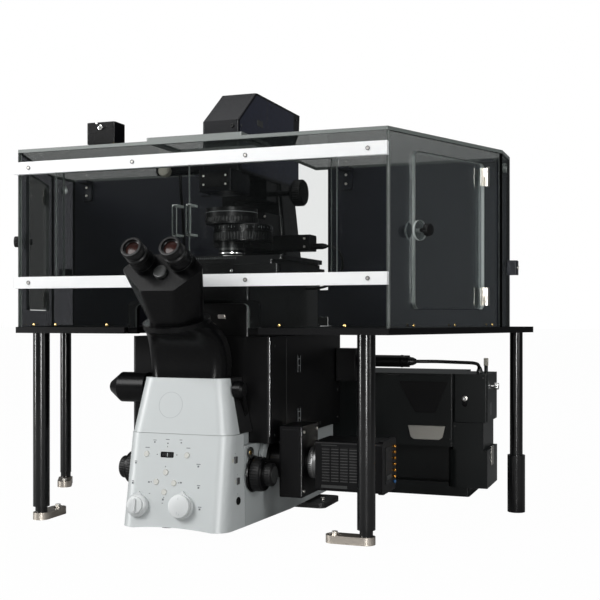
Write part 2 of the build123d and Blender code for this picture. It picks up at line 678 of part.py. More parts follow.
def foot(x, y):
    """A rubber foot under the console or the chassis."""
    top = CONSOLE_Z[0]
    return turned([(0, 0), (FOOT_R - 2, 0), (FOOT_R, top), (0, top)], (x, y, 0), (0, 0, 1))


def scope_body():
    """The black body that stands on the chassis, below the base plates."""
    z = (CHASSIS_TOP_Z + JOINT_LINE, BODY_TOP_Z)
    return [plate((SCOPE_X - BODY_HALF, SCOPE_X + BODY_HALF), BODY_Y, z, BODY_CORNER_R)]


def front_key(name):
    key = on_console(FRONT_KEYS[name], -KEY_DEPTH, KEY_PROUD, KEY_R)
    return [fillet(key.edges().sort_by(Axis.Y)[0], 0.6)]


def front_dial(name):
    """A dial with a pointer tab and a raised cap."""
    at, r = DIALS[name], DIAL_R[name]
    dial = on_console(at, SLIDE, SLIDE + DIAL_H, r)
    dial += on_console(at, SLIDE + DIAL_H, SLIDE + DIAL_H + DIAL_CAP_H, DIAL_CAP_R)
    tab = make_face(Polyline((-r / 3, r * 0.9), (0, r * 1.25), (r / 3, r * 0.9), close=True))
    dial += extrude(CONSOLE_PLANE * Pos(at[0], at[1], SLIDE) * tab, DIAL_H / 2, dir=CONSOLE_PLANE.z_dir)
    dial += on_console(at, -DIAL_SHAFT_L, SLIDE, DIAL_SHAFT_R)
    return [dial]


def coarse_knobs():
    """Two coarse focus knobs on one hollow shaft."""
    outer = focus_face() + SLIDE
    parts = rod((SCOPE_X - outer, *FOCUS_AXIS), (SCOPE_X + outer, *FOCUS_AXIS), FOCUS_SHAFT_R)
    for side in (-1, 1):
        profile = [
            (0, 0),
            (COARSE_R - 3, 0),
            (COARSE_R, 3),
            (COARSE_R, COARSE_T - 4),
            (COARSE_R - 4, COARSE_T),
            (0, COARSE_T),
        ]
        parts += turned(profile, (SCOPE_X + side * outer, *FOCUS_AXIS), (side, 0, 0))
    reach = outer + COARSE_T
    bore = rod((SCOPE_X - reach, *FOCUS_AXIS), (SCOPE_X + reach, *FOCUS_AXIS), FINE_SHAFT_R + RUN)
    return [parts - bore]


def fine_knobs():
    """Two fine focus knobs on the inner shaft."""
    start = focus_face() + SLIDE + COARSE_T + SLIDE
    shaft = rod((SCOPE_X - start, *FOCUS_AXIS), (SCOPE_X + start, *FOCUS_AXIS), FINE_SHAFT_R)
    for side in (-1, 1):
        profile = [(0, 0), (FINE_R, 0), (FINE_R, FINE_T - 2), (FINE_R - 2, FINE_T), (0, FINE_T)]
        shaft += turned(profile, (SCOPE_X + side * start, *FOCUS_AXIS), (side, 0, 0))
    return [shaft]


def front_neck():
    """The black neck that leans forward from the upper cover to the tube ring."""
    mid_y = (NECK_Y[0] + NECK_Y[1]) / 2
    low = Pos(SCOPE_X, mid_y, CONSOLE_Z[2]) * RectangleRounded(2 * NECK_HALF, NECK_Y[1] - NECK_Y[0], NECK_R)
    ring_plane = Plane(
        origin=(SCOPE_X, *RING_AT),
        x_dir=(1, 0, 0),
        z_dir=(0, -sin(radians(RING_TILT)), cos(radians(RING_TILT))),
    )
    side = 2 * (RING_R - 1)
    high = ring_plane * RectangleRounded(side, side, RING_R - 2)
    middle_at = (SCOPE_X, mid_y - NECK_LEAN, RING_AT[1] - NECK_SHOULDER)
    middle = Pos(*middle_at) * RectangleRounded(2 * NECK_HALF, NECK_Y[1] - NECK_Y[0] + NECK_LEAN, NECK_R + 4)
    neck = loft([low, middle, high])
    neck += ring_plane * Cylinder(RING_R, RING_T, align=(Align.CENTER, Align.CENTER, Align.MIN))
    return [neck]


def hexagon(half_wing, wing_up, top, foot, r):
    """A six-sided face with rounded corners, symmetric about the middle plane."""
    points = [
        (-foot[0], -foot[1]),
        (foot[0], -foot[1]),
        (half_wing, wing_up),
        (top[0], top[1]),
        (-top[0], top[1]),
        (-half_wing, wing_up),
    ]
    face = make_face(Polyline(*points, close=True))
    return fillet(face.vertices(), r)


def binocular_head():
    """The prism head between the tube ring and the eyepieces, with its round hinge cap."""
    face = HEAD_PLANE * hexagon(*HEAD_WING, HEAD_TOP, HEAD_FOOT, HEAD_CORNER_R)
    tilt = radians(RING_TILT)
    ring_top = RING_T + JOINT_LINE
    seat = Plane(
        origin=(SCOPE_X, RING_AT[0] - ring_top * sin(tilt), RING_AT[1] + ring_top * cos(tilt)),
        x_dir=(1, 0, 0),
        z_dir=(0, -sin(tilt), cos(tilt)),
    )
    r = RING_R - 4
    base = seat * hexagon(r, 0, (r / 2, r * 0.85), (r / 2, r * 0.85), r / 2)
    head = loft([base, face])
    cap = HEAD_PLANE * Cylinder(HEAD_CAP_R, HEAD_CAP_T, align=(Align.CENTER, Align.CENTER, Align.MIN))
    return [head, cap]


def eye_frame(side):
    """Where an eyepiece axis leaves the face of the head."""
    return HEAD_PLANE * Pos(side * EYE_HALF, EYE_UP, 0)


def eye_tube(side):
    """A tube that swings about the middle of the head; the eyepiece slides into its bore."""
    profile = [
        (0, SLIDE),
        (TUBE_R, SLIDE),
        (TUBE_R, TUBE_L * 0.6),
        (EYEPIECE_R, TUBE_L),
        (EYEPIECE_SHANK_R + RUN, TUBE_L),
        (EYEPIECE_SHANK_R + RUN, TUBE_L * 0.35),
        (0, TUBE_L * 0.35),
    ]
    return [eye_frame(side) * turned(profile, (0, 0, 0), (0, 0, 1))]


def eyepiece(side):
    """An eyepiece with its dioptre ring and a hollow eyecup."""
    low = TUBE_L + SLIDE
    top = low + EYEPIECE_L
    profile = [
        (0, TUBE_L * 0.35 + SLIDE),
        (EYEPIECE_SHANK_R, TUBE_L * 0.35 + SLIDE),
        (EYEPIECE_SHANK_R, low),
        (EYEPIECE_R, low),
        (EYEPIECE_R, low + 9),
        (EYEPIECE_R - 2, low + 11),
        (EYEPIECE_R - 2, low + 15),
        (EYEPIECE_R - 1, low + 17),
        (EYEPIECE_R - 1, top - 2),
        (EYEPIECE_R - 3, top),
        (EYE_LENS_R + 1, top),
        (EYE_LENS_R, top - 7),
        (0, top - 6),
    ]
    return [eye_frame(side) * turned(profile, (0, 0, 0), (0, 0, 1))]


def side_grips():
    """A round grip with a conical end on the left, and a short one with a curved arm on the right."""
    face = side_cover_half()
    reach = GRIP_REACH - face
    profile = [
        (0, 0),
        (GRIP_R, 0),
        (GRIP_R, reach - GRIP_CONE),
        (GRIP_TIP_R, reach - 2),
        (GRIP_TIP_R - 3, reach),
        (0, reach),
    ]
    left = turned(profile, (SCOPE_X - face, *GRIP_AT), (-1, 0, 0))
    hub_r, hub_l = GRIP_HUB_R, GRIP_HUB_L
    hub = [(0, 0), (hub_r, 0), (hub_r, hub_l - 4), (hub_r - 4, hub_l), (0, hub_l)]
    hub_y = CONSOLE_FRONT_Y[2] + GRIP_R
    right = turned(hub, (SCOPE_X + face, hub_y, GRIP_AT[1]), (1, 0, 0))
    arm_x = [SCOPE_X + face + out for out in GRIP_ARM_OUT]
    bends = [(hub_y + y, GRIP_AT[1] + z) for y, z in GRIP_BENDS]
    for a, b in zip(bends, bends[1:]):
        right += link(a, b, GRIP_ARM_W, arm_x)
    cover = console_cover()[0]
    return [left - cover, right - cover]


def link(a, b, width, x):
    """A flat bar with round ends between two points given as (y, z)."""
    run = Vector(0, b[0] - a[0], b[1] - a[1])
    middle = (x[0], (a[0] + b[0]) / 2, (a[1] + b[1]) / 2)
    face = Plane(origin=middle, x_dir=run, z_dir=(1, 0, 0)) * SlotCenterToCenter(run.length, width)
    return extrude(face, x[1] - x[0], dir=(1, 0, 0))


def side_cover_half():
    """Half the width of the upper cover at the grips."""
    share = (GRIP_AT[1] - CONSOLE_Z[1]) / (CONSOLE_Z[2] - CONSOLE_Z[1])
    low = CONSOLE_HALF[1] + CONSOLE_SPREAD
    return low + (CONSOLE_HALF[2] - low) * share


# Riser, nosepiece and stage
OPTIC_Y = 190.0
RISER_HALF = 90.0
RISER_Y = (60.0, 447.0)
WELL_HALF = 74.0
WELL_Y = (98.0, 296.0)
WELL_FLOOR = 9.0
STAGE_Z = BODY_TOP_Z + 104.0    # underside of the fixed stage base
STAGE_BASE_T = 22.0
STAGE_HALF = 150.0
STAGE_Y = (50.0, 300.0)
STAGE_WINDOW_HALF = 78.0
STAGE_WINDOW_Y = (112.0, 290.0)
CARRIAGE_T = 8.0        # thickness of each moving plate
INSERT_SIZE = (160.0, 110.0)
INSERT_T = 3.0
INSERT_HOLE_R = 14.0
STAGE_TRAVEL = (57.0, 36.5)
UPPER_PLATE_IN = (20.0, 15.0)   # how much shorter the upper plate is at its front and rear
TURRET_Y = 228.0
TURRET_R = 56.0
TURRET_Z = STAGE_Z - 47.0
TURRET_T = 14.0
TURRET_PIN_R = 6.0
OBJECTIVES = 6
OBJECTIVE_CIRCLE_R = 38.0
OBJECTIVE_R = 14.0
OBJECTIVE_L = 46.0
CARRIER_T = 13.0
CARRIER_HALF = 44.0
CARRIER_NOSE = 22.0     # how far the bracket reaches in front of the optical axis
CARRIER_SLIDE = (36.0, 9.0)     # half-width and thickness of its upright slide
CARRIER_RISE = (-28.0, 26.0)    # ends of the slide below and above the bracket

# Condenser on the pillar
COND_ARM_HALF = 38.0
COND_LENS_R = 24.5
COND_FOOT_Z = STAGE_Z + 48.0
COND_PLATE_T = 9.0
COND_TURRET_Z = STAGE_Z + 72.0
COND_TURRET_T = 32.0
COND_TURRET_R = 56.0
COND_TURRET_AT = (20.0, 8.0)    # turret axis from the optical axis
COND_PIN_R = 5.0
COND_RING_R = 49.0
COND_RING_T = 30.0
COND_BACK_Y = OPTIC_Y + 72.0
MOTOR_X = (66.0, 110.0)
MOTOR_Y = (300.0, 344.0)
MOTOR_Z = (STAGE_Z + 60.0, STAGE_Z + 92.0)
MOTOR_PLUG_R = 6.0
MOTOR_PLUG_L = 26.0
COND_KNOB_AT = (303.0, STAGE_Z + 174.0)
COND_KNOB_R = 25.5
COND_KNOB_X = (72.0, 100.0)     # from the middle plane of the enclosure
COND_SHAFT_R = 5.0

# Illumination pillar and lamp head
PILLAR_HALF = 37.0
PILLAR_FOOT_HALF = 54.0
PILLAR_Y = (345.0, 447.0)
PILLAR_TOP_Y = 431.0
PILLAR_H = 200.0        # above the stage
PILLAR_TOP_Z = STAGE_Z + PILLAR_H
HEAD_FRONT_Y = 137.0
HEAD_REAR_Y = 462.0
HEAD_UNDER_Z = PILLAR_TOP_Z
HEAD_CHAMFER = (222.0, HEAD_UNDER_Z + 93.0)     # where the sloping front meets the top, and where it meets the front
HEAD_TOP_Z = HEAD_UNDER_Z + 158.0
HEAD_TAIL = (12.0, 85.0, 38.0)  # hollow behind the head: its foot's inset, its height and the top block's height
HEAD_EDGE_R = 5.0
LENS_BOX_Y = (112.0, 200.0)
LENS_BOX_HALF = 33.0
LENS_BOX_Z = (HEAD_UNDER_Z - 40.0, HEAD_UNDER_Z)
FIELD_UNIT_REACH = 154.0        # from the middle plane to its end
FIELD_UNIT_Y = (176.0, 208.0)
FIELD_UNIT_Z = (HEAD_UNDER_Z + 4.0, HEAD_UNDER_Z + 28.0)
FIELD_KNOB_AT = (-137.0, HEAD_UNDER_Z + 10.0)
FIELD_KNOB_R = 11.0
FIELD_KNOB_L = 15.0
FIELD_SHAFT_R = 4.0

# Side port, relay box and camera
PORT_AT = (103.0, 117.0)
PORT_FLANGE_R = 34.0
PORT_FLANGE_T = 6.0
PORT_TUBE_R = 30.0
RELAY_GAP = 12.0        # between the body and the relay box
RELAY_T = 42.0
RELAY_X = (SCOPE_X + BODY_HALF + RELAY_GAP, SCOPE_X + BODY_HALF + RELAY_GAP + RELAY_T)
RELAY_Y = (60.0, 146.0)
RELAY_Z = (60.0, 182.0)
MOUNT_R = 26.0
MOUNT_L = 24.0          # of the mount ring between the relay box and the camera
CAMERA_L = 111.0
CAMERA_X = (RELAY_X[1] + MOUNT_L, RELAY_X[1] + MOUNT_L + CAMERA_L)
CAMERA_SIDE = 85.0
CAMERA_BACK_T = 8.0

# Illumination unit that stands behind the microscope
UNIT_X = (60.0, 353.0)
UNIT_Y = (500.0, 700.0)
UNIT_Z = (103.0, 253.0)
UNIT_SIDE_X = 423.0
UNIT_SIDE_DEPTH = 125.0
UNIT_STEP_Z = 155.0
UNIT_STEP_IN = 8.0
UNIT_LOW_X = 342.0
UNIT_LOW_Z = (20.0, 98.0)
UNIT_PLINTH_IN = 42.0
UNIT_BASE_X = 384.0
UNIT_BASE_T = 28.0
UNIT_EDGE_R = 4.0
COUPLER_X = (172.0, 279.0)
COUPLER_Y = (408.0, 446.0)
COUPLER_Z = (BODY_TOP_Z - 96.0, BODY_TOP_Z - 30.0)
COUPLER_ROD_R = 12.0
COUPLER_ROD_Z = BODY_TOP_Z - 55.0
UNIT_STUB_AT = (407.0, 580.0)
UNIT_STUB_R = 4.0
UNIT_STUB_L = 30.0

# Cables: radius, then the points of the route
FIBRE_R = 3.5
FIBRE_ROUTE = [
    (279.0, 427.0, 281.0),
    (303.0, 427.0, 281.0),
    (332.0, 439.0, 281.0),
    (358.0, 464.0, 279.0),
    (378.0, 496.0, 277.0),
    (391.0, 530.0, 275.0),
    (397.0, 560.0, 270.0),
    (397.0, 560.0, 253.0),
]
CONDENSER_CABLE_R = 2.6
CONDENSER_CABLE_ROUTE = [
    (136.0, 330.0, 510.0),
    (150.0, 330.0, 510.0),
    (163.0, 338.0, 496.0),
    (165.0, 348.0, 474.0),
    (157.0, 353.0, 454.0),
    (141.0, 355.0, 438.0),
    (116.0, 355.0, 427.0),
    (84.0, 355.0, 427.0),
]
LAMP_CABLE_R = 3.0
LAMP_CABLE_ROUTE = [
    (-116.0, 192.0, 644.0),
    (-116.0, 192.0, 622.0),
    (-124.0, 216.0, 592.0),
    (-139.0, 250.0, 568.0),
    (-157.0, 289.0, 545.0),
    (-173.0, 323.0, 515.0),
    (-182.0, 343.0, 477.0),
    (-184.0, 350.0, 433.0),
    (-184.0, 352.0, 390.0),
    (-184.0, 352.0, 352.0),
]

OPTIC = (SCOPE_X, OPTIC_Y)
STAGE_TOP = STAGE_Z + STAGE_BASE_T + 2 * (SLIDE + CARRIAGE_T)


def disc(at, z, r):
    """An upright cylinder between two heights."""
    return rod((at[0], at[1], z[0]), (at[0], at[1], z[1]), r)


def stage_base():
    """The riser with its open well for the nosepiece, and the fixed stage base on it."""
    riser_x = (SCOPE_X - RISER_HALF, SCOPE_X + RISER_HALF)
    riser = plate(riser_x, RISER_Y, (BODY_TOP_Z, STAGE_Z), BODY_CORNER_R)
    well_x = (SCOPE_X - WELL_HALF, SCOPE_X + WELL_HALF)
    riser -= box(well_x, WELL_Y, (BODY_TOP_Z + WELL_FLOOR, STAGE_Z))
    base_z = (STAGE_Z, STAGE_Z + STAGE_BASE_T)
    base = plate((SCOPE_X - STAGE_HALF, SCOPE_X + STAGE_HALF), STAGE_Y, base_z, 8)
    window_x = (SCOPE_X - STAGE_WINDOW_HALF, SCOPE_X + STAGE_WINDOW_HALF)
    base -= plate(window_x, STAGE_WINDOW_Y, base_z, 8)
    return [riser, base]


def stage_plate(level, half, y, opening):
    """One moving plate of the stage with its rectangular opening."""
    z0 = STAGE_Z + STAGE_BASE_T + level * (SLIDE + CARRIAGE_T) + SLIDE
    z = (z0, z0 + CARRIAGE_T)
    body = plate((SCOPE_X - half, SCOPE_X + half), y, z, 8)
    opening_x = (SCOPE_X - opening[0] / 2, SCOPE_X + opening[0] / 2)
    opening_y = (OPTIC_Y - opening[1] / 2, OPTIC_Y + opening[1] / 2)
    return body - plate(opening_x, opening_y, z, 6)


def stage_y_carriage():
    across = STAGE_TRAVEL[0] * 2
    return [stage_plate(0, STAGE_HALF - 10, STAGE_Y, (INSERT_SIZE[0] + across / 4, INSERT_SIZE[1]))]


def stage_x_carriage():
    """The upper plate with the specimen insert and its round hole."""
    y = (STAGE_Y[0] + UPPER_PLATE_IN[0], STAGE_Y[1] - UPPER_PLATE_IN[1])
    body = stage_plate(1, STAGE_HALF, y, INSERT_SIZE)
    insert_x = (SCOPE_X - INSERT_SIZE[0] / 2, SCOPE_X + INSERT_SIZE[0] / 2)
    insert_y = (OPTIC_Y - INSERT_SIZE[1] / 2, OPTIC_Y + INSERT_SIZE[1] / 2)
    z = (STAGE_TOP - CARRIAGE_T, STAGE_TOP - CARRIAGE_T + INSERT_T)
    insert = plate(insert_x, insert_y, z, 6)
    return [body + insert - disc(OPTIC, z, INSERT_HOLE_R)]


def focus_carriage():
    """The bracket in the well that carries the nosepiece on a pin."""
    z = (TURRET_Z - SLIDE - CARRIER_T, TURRET_Z - SLIDE)
    rear = WELL_Y[1] - SLIDE
    arm_x = (SCOPE_X - CARRIER_HALF, SCOPE_X + CARRIER_HALF)
    arm = plate(arm_x, (OPTIC_Y - CARRIER_NOSE, rear), z, 10)
    slide_half, slide_t = CARRIER_SLIDE
    slide_z = (z[0] + CARRIER_RISE[0], z[1] + CARRIER_RISE[1])
    arm += box((SCOPE_X - slide_half, SCOPE_X + slide_half), (rear - slide_t, rear), slide_z)
    arm -= disc(OPTIC, z, OBJECTIVE_R)
    pin = disc((SCOPE_X, TURRET_Y), (z[1], TURRET_Z + TURRET_T * 0.7), TURRET_PIN_R)
    return [arm + pin]


def nosepiece():
    """The revolving turret and its ring of objectives."""
    centre = (SCOPE_X, TURRET_Y)
    top = TURRET_Z + TURRET_T
    turret = disc(centre, (TURRET_Z, top), TURRET_R)
    turret = chamfer(turret.edges().sort_by(Axis.Z)[-1], 3)
    turret -= disc(centre, (TURRET_Z, TURRET_Z + TURRET_T * 0.7 + SLIDE), TURRET_PIN_R + RUN)
    parts = [turret]
    profile = [
        (0, 0),
        (OBJECTIVE_R - 2, 0),
        (OBJECTIVE_R - 2, 4),
        (OBJECTIVE_R, 4),
        (OBJECTIVE_R, OBJECTIVE_L * 0.62),
        (OBJECTIVE_R * 0.45, OBJECTIVE_L),
        (0, OBJECTIVE_L),
    ]
    for k in range(OBJECTIVES):
        turn = -pi / 2 + 2 * pi * k / OBJECTIVES
        x = SCOPE_X + OBJECTIVE_CIRCLE_R * cos(turn)
        y = TURRET_Y + OBJECTIVE_CIRCLE_R * sin(turn)
        parts.append(turned(profile, (x, y, top), (0, 0, 1)))
    return parts


def condenser_carrier():
    """The C-shaped condenser body on the pillar, with its lens below and its motor at the right."""
    rear = PILLAR_Y[0] - SLIDE
    arm_x = (SCOPE_X - COND_ARM_HALF, SCOPE_X + COND_ARM_HALF)
    low_z = (COND_TURRET_Z - SLIDE - COND_PLATE_T, COND_TURRET_Z - SLIDE)
    ring_z0 = COND_TURRET_Z + COND_TURRET_T + SLIDE
    ring_z = (ring_z0, ring_z0 + COND_RING_T)
    body = box(arm_x, (COND_BACK_Y + SLIDE, rear), (low_z[0], ring_z[1]))
    body += box(arm_x, (OPTIC_Y, rear), low_z)
    body += box(arm_x, (OPTIC_Y, rear), (ring_z[0], ring_z[0] + COND_RING_T / 2))
    body += disc(OPTIC, ring_z, COND_RING_R)
    body += disc(OPTIC, (COND_FOOT_Z, low_z[1]), COND_LENS_R)
    body -= disc(OPTIC, (low_z[1] - COND_PLATE_T / 2, low_z[1]), COND_LENS_R - 8)
    body += disc(turret_axis(), (ring_z[0] - COND_TURRET_T * 0.6, ring_z[0]), COND_PIN_R)
    motor = plate((SCOPE_X + COND_ARM_HALF, MOTOR_X[1]), MOTOR_Y, MOTOR_Z, 4, Axis.X)
    plug_y, plug_z = CONDENSER_CABLE_ROUTE[0][1:]
    plug = turned(
        [(0, 0), (MOTOR_PLUG_R, 0), (MOTOR_PLUG_R, MOTOR_PLUG_L * 0.7), (4, MOTOR_PLUG_L), (0, MOTOR_PLUG_L)],
        (MOTOR_X[1], plug_y, plug_z),
        (1, 0, 0),
    )
    return [body + motor, plug]


def turret_axis():
    return (OPTIC[0] + COND_TURRET_AT[0], OPTIC[1] + COND_TURRET_AT[1])


def condenser_turret():
    """The turret disc with a knurled rim."""
    z = (COND_TURRET_Z, COND_TURRET_Z + COND_TURRET_T)
    turret = disc(turret_axis(), z, COND_TURRET_R)
    turret = chamfer(turret.edges().group_by(Axis.Z)[-1], 3)
    groove_z = (z[0] + COND_TURRET_T * 0.55, z[0] + COND_TURRET_T * 0.62)
    turret -= disc(turret_axis(), groove_z, COND_TURRET_R) - disc(turret_axis(), groove_z, COND_TURRET_R - 2)
    bore_z = (z[1] - COND_TURRET_T * 0.6 - 2 * SLIDE, z[1])
    return [turret - disc(turret_axis(), bore_z, COND_PIN_R + RUN)]


def condenser_knob():
    """The condenser height knob on its thin shaft."""
    profile = [
        (0, 0),
        (COND_KNOB_R * 0.6, 0),
        (COND_KNOB_R, 8),
        (COND_KNOB_R, COND_KNOB_X[1] - COND_KNOB_X[0] - 3),
        (COND_KNOB_R - 3, COND_KNOB_X[1] - COND_KNOB_X[0]),
        (0, COND_KNOB_X[1] - COND_KNOB_X[0]),
    ]
    knob = turned(profile, (COND_KNOB_X[0], *COND_KNOB_AT), (1, 0, 0))
    inner = SCOPE_X + LENS_BOX_HALF - 12
    return [knob + rod((inner, *COND_KNOB_AT), (COND_KNOB_X[0], *COND_KNOB_AT), COND_SHAFT_R)]


def pillar():
    """The illumination pillar, wider at its foot, with the block that guides the condenser knob's shaft."""
    foot = Pos(SCOPE_X, (PILLAR_Y[0] + PILLAR_Y[1]) / 2, STAGE_Z) * RectangleRounded(
        2 * PILLAR_FOOT_HALF, PILLAR_Y[1] - PILLAR_Y[0], 8
    )
    top = Pos(SCOPE_X, (PILLAR_Y[0] + PILLAR_TOP_Y) / 2, PILLAR_TOP_Z) * RectangleRounded(
        2 * PILLAR_HALF, PILLAR_TOP_Y - PILLAR_Y[0], 8
    )
    column = loft([foot, top])
    y, z = COND_KNOB_AT
    block_x = (SCOPE_X - LENS_BOX_HALF, SCOPE_X + LENS_BOX_HALF)
    block = box(block_x, (y - 20, PILLAR_Y[0] + 8), (z - 14, HEAD_UNDER_Z))
    bore = rod((SCOPE_X, y, z), (SCOPE_X + LENS_BOX_HALF, y, z), COND_SHAFT_R + RUN)
    return [column + block - bore]


def lamp_head():
    """The lamp housing with its sloping front, the lens box under it and the field unit at its left."""
    side = [
        (HEAD_FRONT_Y, HEAD_UNDER_Z),
        (HEAD_FRONT_Y, HEAD_CHAMFER[1]),
        (HEAD_CHAMFER[0], HEAD_TOP_Z),
        (HEAD_REAR_Y, HEAD_TOP_Z),
        (HEAD_REAR_Y - 4, HEAD_TOP_Z - HEAD_TAIL[2]),
        (PILLAR_TOP_Y - HEAD_TAIL[0], HEAD_TOP_Z - HEAD_TAIL[1]),
        (PILLAR_TOP_Y, HEAD_UNDER_Z),
    ]
    face = make_face(Plane.YZ * Polyline(*side, close=True))
    head = extrude(Pos(SCOPE_X - PILLAR_HALF, 0, 0) * face, 2 * PILLAR_HALF, dir=(1, 0, 0))
    front = head.edges().filter_by(Axis.X, reverse=True).sort_by(Axis.Y)
    head = fillet([e for e in front if e.center().Y < HEAD_CHAMFER[0]], HEAD_EDGE_R)
    lens_x = (SCOPE_X - LENS_BOX_HALF, SCOPE_X + LENS_BOX_HALF)
    lens_box = plate(lens_x, LENS_BOX_Y, LENS_BOX_Z, 4)
    unit_x = (SCOPE_X - FIELD_UNIT_REACH, SCOPE_X - PILLAR_HALF)
    unit = plate(unit_x, FIELD_UNIT_Y, FIELD_UNIT_Z, 8, Axis.X)
    x, z = FIELD_KNOB_AT
    unit -= rod((x, FIELD_UNIT_Y[0], z), (x, FIELD_UNIT_Y[0] + FIELD_SHAFT_R * 2, z), FIELD_SHAFT_R + RUN)
    return [head, lens_box, unit]


def field_knob():
    x, z = FIELD_KNOB_AT
    front = FIELD_UNIT_Y[0] - SLIDE
    knob = turned(
        [
            (0, 0),
            (FIELD_KNOB_R, 0),
            (FIELD_KNOB_R, FIELD_KNOB_L - 2),
            (FIELD_KNOB_R - 2, FIELD_KNOB_L),
            (0, FIELD_KNOB_L),
        ],
        (x, front, z),
        (0, -1, 0),
    )
    return [knob + rod((x, front, z), (x, front + FIELD_SHAFT_R * 2, z), FIELD_SHAFT_R)]


def relay_box():
    """The side port's flange and tube, and the relay box they carry."""
    y, z = PORT_AT
    share = (y - CONSOLE_REAR_Y) / (CHASSIS_WIDEN_Y - CONSOLE_REAR_Y)
    narrow = CONSOLE_HALF[0] + CONSOLE_SPREAD
    face = SCOPE_X + narrow + (CHASSIS_HALF - narrow) * share + JOINT_LINE * 5
    port = rod((face, y, z), (face + PORT_FLANGE_T, y, z), PORT_FLANGE_R)
    port += rod((face, y, z), (RELAY_X[0], y, z), PORT_TUBE_R)
    return [port, plate(RELAY_X, RELAY_Y, RELAY_Z, 3)]


def side_camera():
    """The mount ring and the camera with its rear flange."""
    y, z = PORT_AT
    ring = rod((RELAY_X[1], y, z), (CAMERA_X[0], y, z), MOUNT_R)
    half = CAMERA_SIDE / 2
    body = plate(CAMERA_X, (y - half, y + half), (z - half, z + half), 5, Axis.X)
    back_x = (CAMERA_X[1], CAMERA_X[1] + CAMERA_BACK_T)
    back = plate(back_x, (y - half - 2, y + half + 2), (z - half - 2, z + half + 2), 8, Axis.X)
    return [ring, body, back]


def unit_housing():
    """The rear illumination unit: main housing, plinth, side housing, rounded foot and base."""
    main = plate(UNIT_X, UNIT_Y, UNIT_Z, UNIT_EDGE_R)
    side_y = (UNIT_Y[0] + 2, UNIT_Y[0] + UNIT_SIDE_DEPTH)
    side = plate((UNIT_X[1], UNIT_SIDE_X), side_y, (UNIT_STEP_Z, UNIT_Z[1]), UNIT_EDGE_R)
    step = box((UNIT_X[1], UNIT_SIDE_X - UNIT_STEP_IN), side_y, (UNIT_LOW_Z[1], UNIT_STEP_Z))
    low = box((UNIT_LOW_X, UNIT_SIDE_X), side_y, UNIT_LOW_Z)
    low = fillet(low.edges().filter_by(Axis.Z).group_by(Axis.Y)[0].sort_by(Axis.X)[0], 18)
    plinth_x = (UNIT_X[0] + UNIT_PLINTH_IN, UNIT_LOW_X)
    plinth = box(plinth_x, (UNIT_Y[0] + UNIT_PLINTH_IN, UNIT_Y[1]), (UNIT_BASE_T, UNIT_Z[0]))
    base_y = (UNIT_Y[0] + 10, UNIT_Y[1])
    base = plate((UNIT_X[0], UNIT_BASE_X), base_y, (0, UNIT_BASE_T), UNIT_EDGE_R)
    base -= box((UNIT_LOW_X, UNIT_BASE_X), base_y, (UNIT_LOW_Z[0], UNIT_BASE_T))
    stub = disc(UNIT_STUB_AT, (UNIT_Z[1], UNIT_Z[1] + UNIT_STUB_L), UNIT_STUB_R)
    return [main, side, step, low, plinth, base, stub]


def fibre_coupler():
    """The coupler block on the body's right side and the tube that the fibre enters."""
    body_side = SCOPE_X + BODY_HALF
    block = plate((body_side, COUPLER_X[0]), COUPLER_Y, COUPLER_Z, 3)
    y = (COUPLER_Y[0] + COUPLER_Y[1]) / 2
    tube = rod((COUPLER_X[0], y, COUPLER_ROD_Z), (COUPLER_X[1], y, COUPLER_ROD_Z), COUPLER_ROD_R)
    return [block, tube]


def fasteners():
    """Rail screws, clamp screws, and the fixed halves and pins of the door hinges."""
    parts = []
    for z in (LOWER_RAIL_Z, UPPER_RAIL_Z):
        middle = (z[0] + z[1]) / 2
        for x in (RAIL_HALF - RAIL_SCREW_IN, RAIL_SCREW_X):
            screw = rod((x, -RAIL_D, middle), (x, -RAIL_D - RAIL_SCREW_T, middle), RAIL_SCREW_R)
            parts += [screw, on_left(screw)]
    for (x, y), turn in clamp_places():
        reach = CLAMP_L - CLAMP_W
        at = (x + reach * cos(radians(turn)), y + reach * sin(radians(turn)))
        parts.append(disc(at, (CLAMP_T, CLAMP_T + CLAMP_SCREW_T), CLAMP_SCREW_R))
    for z0 in HINGE_Z:
        half = [hinge_half(z0, True), hinge_pin(z0)]
        parts += half + [on_left(p) for p in half]
    return parts


def cable(name, route, r):
    """A tube of straight runs joined by tangent arcs, each as large as its two runs allow."""
    points = [Vector(*p) for p in route]
    radii = []
    for a, b, c in zip(points, points[1:], points[2:]):
        turn = radians((b - a).get_angle(c - b))
        radii.append(0.45 * min((b - a).length, (c - b).length) / tan(turn / 2))
    path = FilletPolyline(*points, radius=radii)
    start = Plane(origin=points[0], z_dir=points[1] - points[0])
    tube = sweep(start * Circle(r), path=path)
    print(name, "length", round(path.length, 1), "radii", [round(x, 1) for x in radii])
    print(name, "volume over section times length", round(tube.volume / (pi * r * r * path.length), 4))
    return [tube]


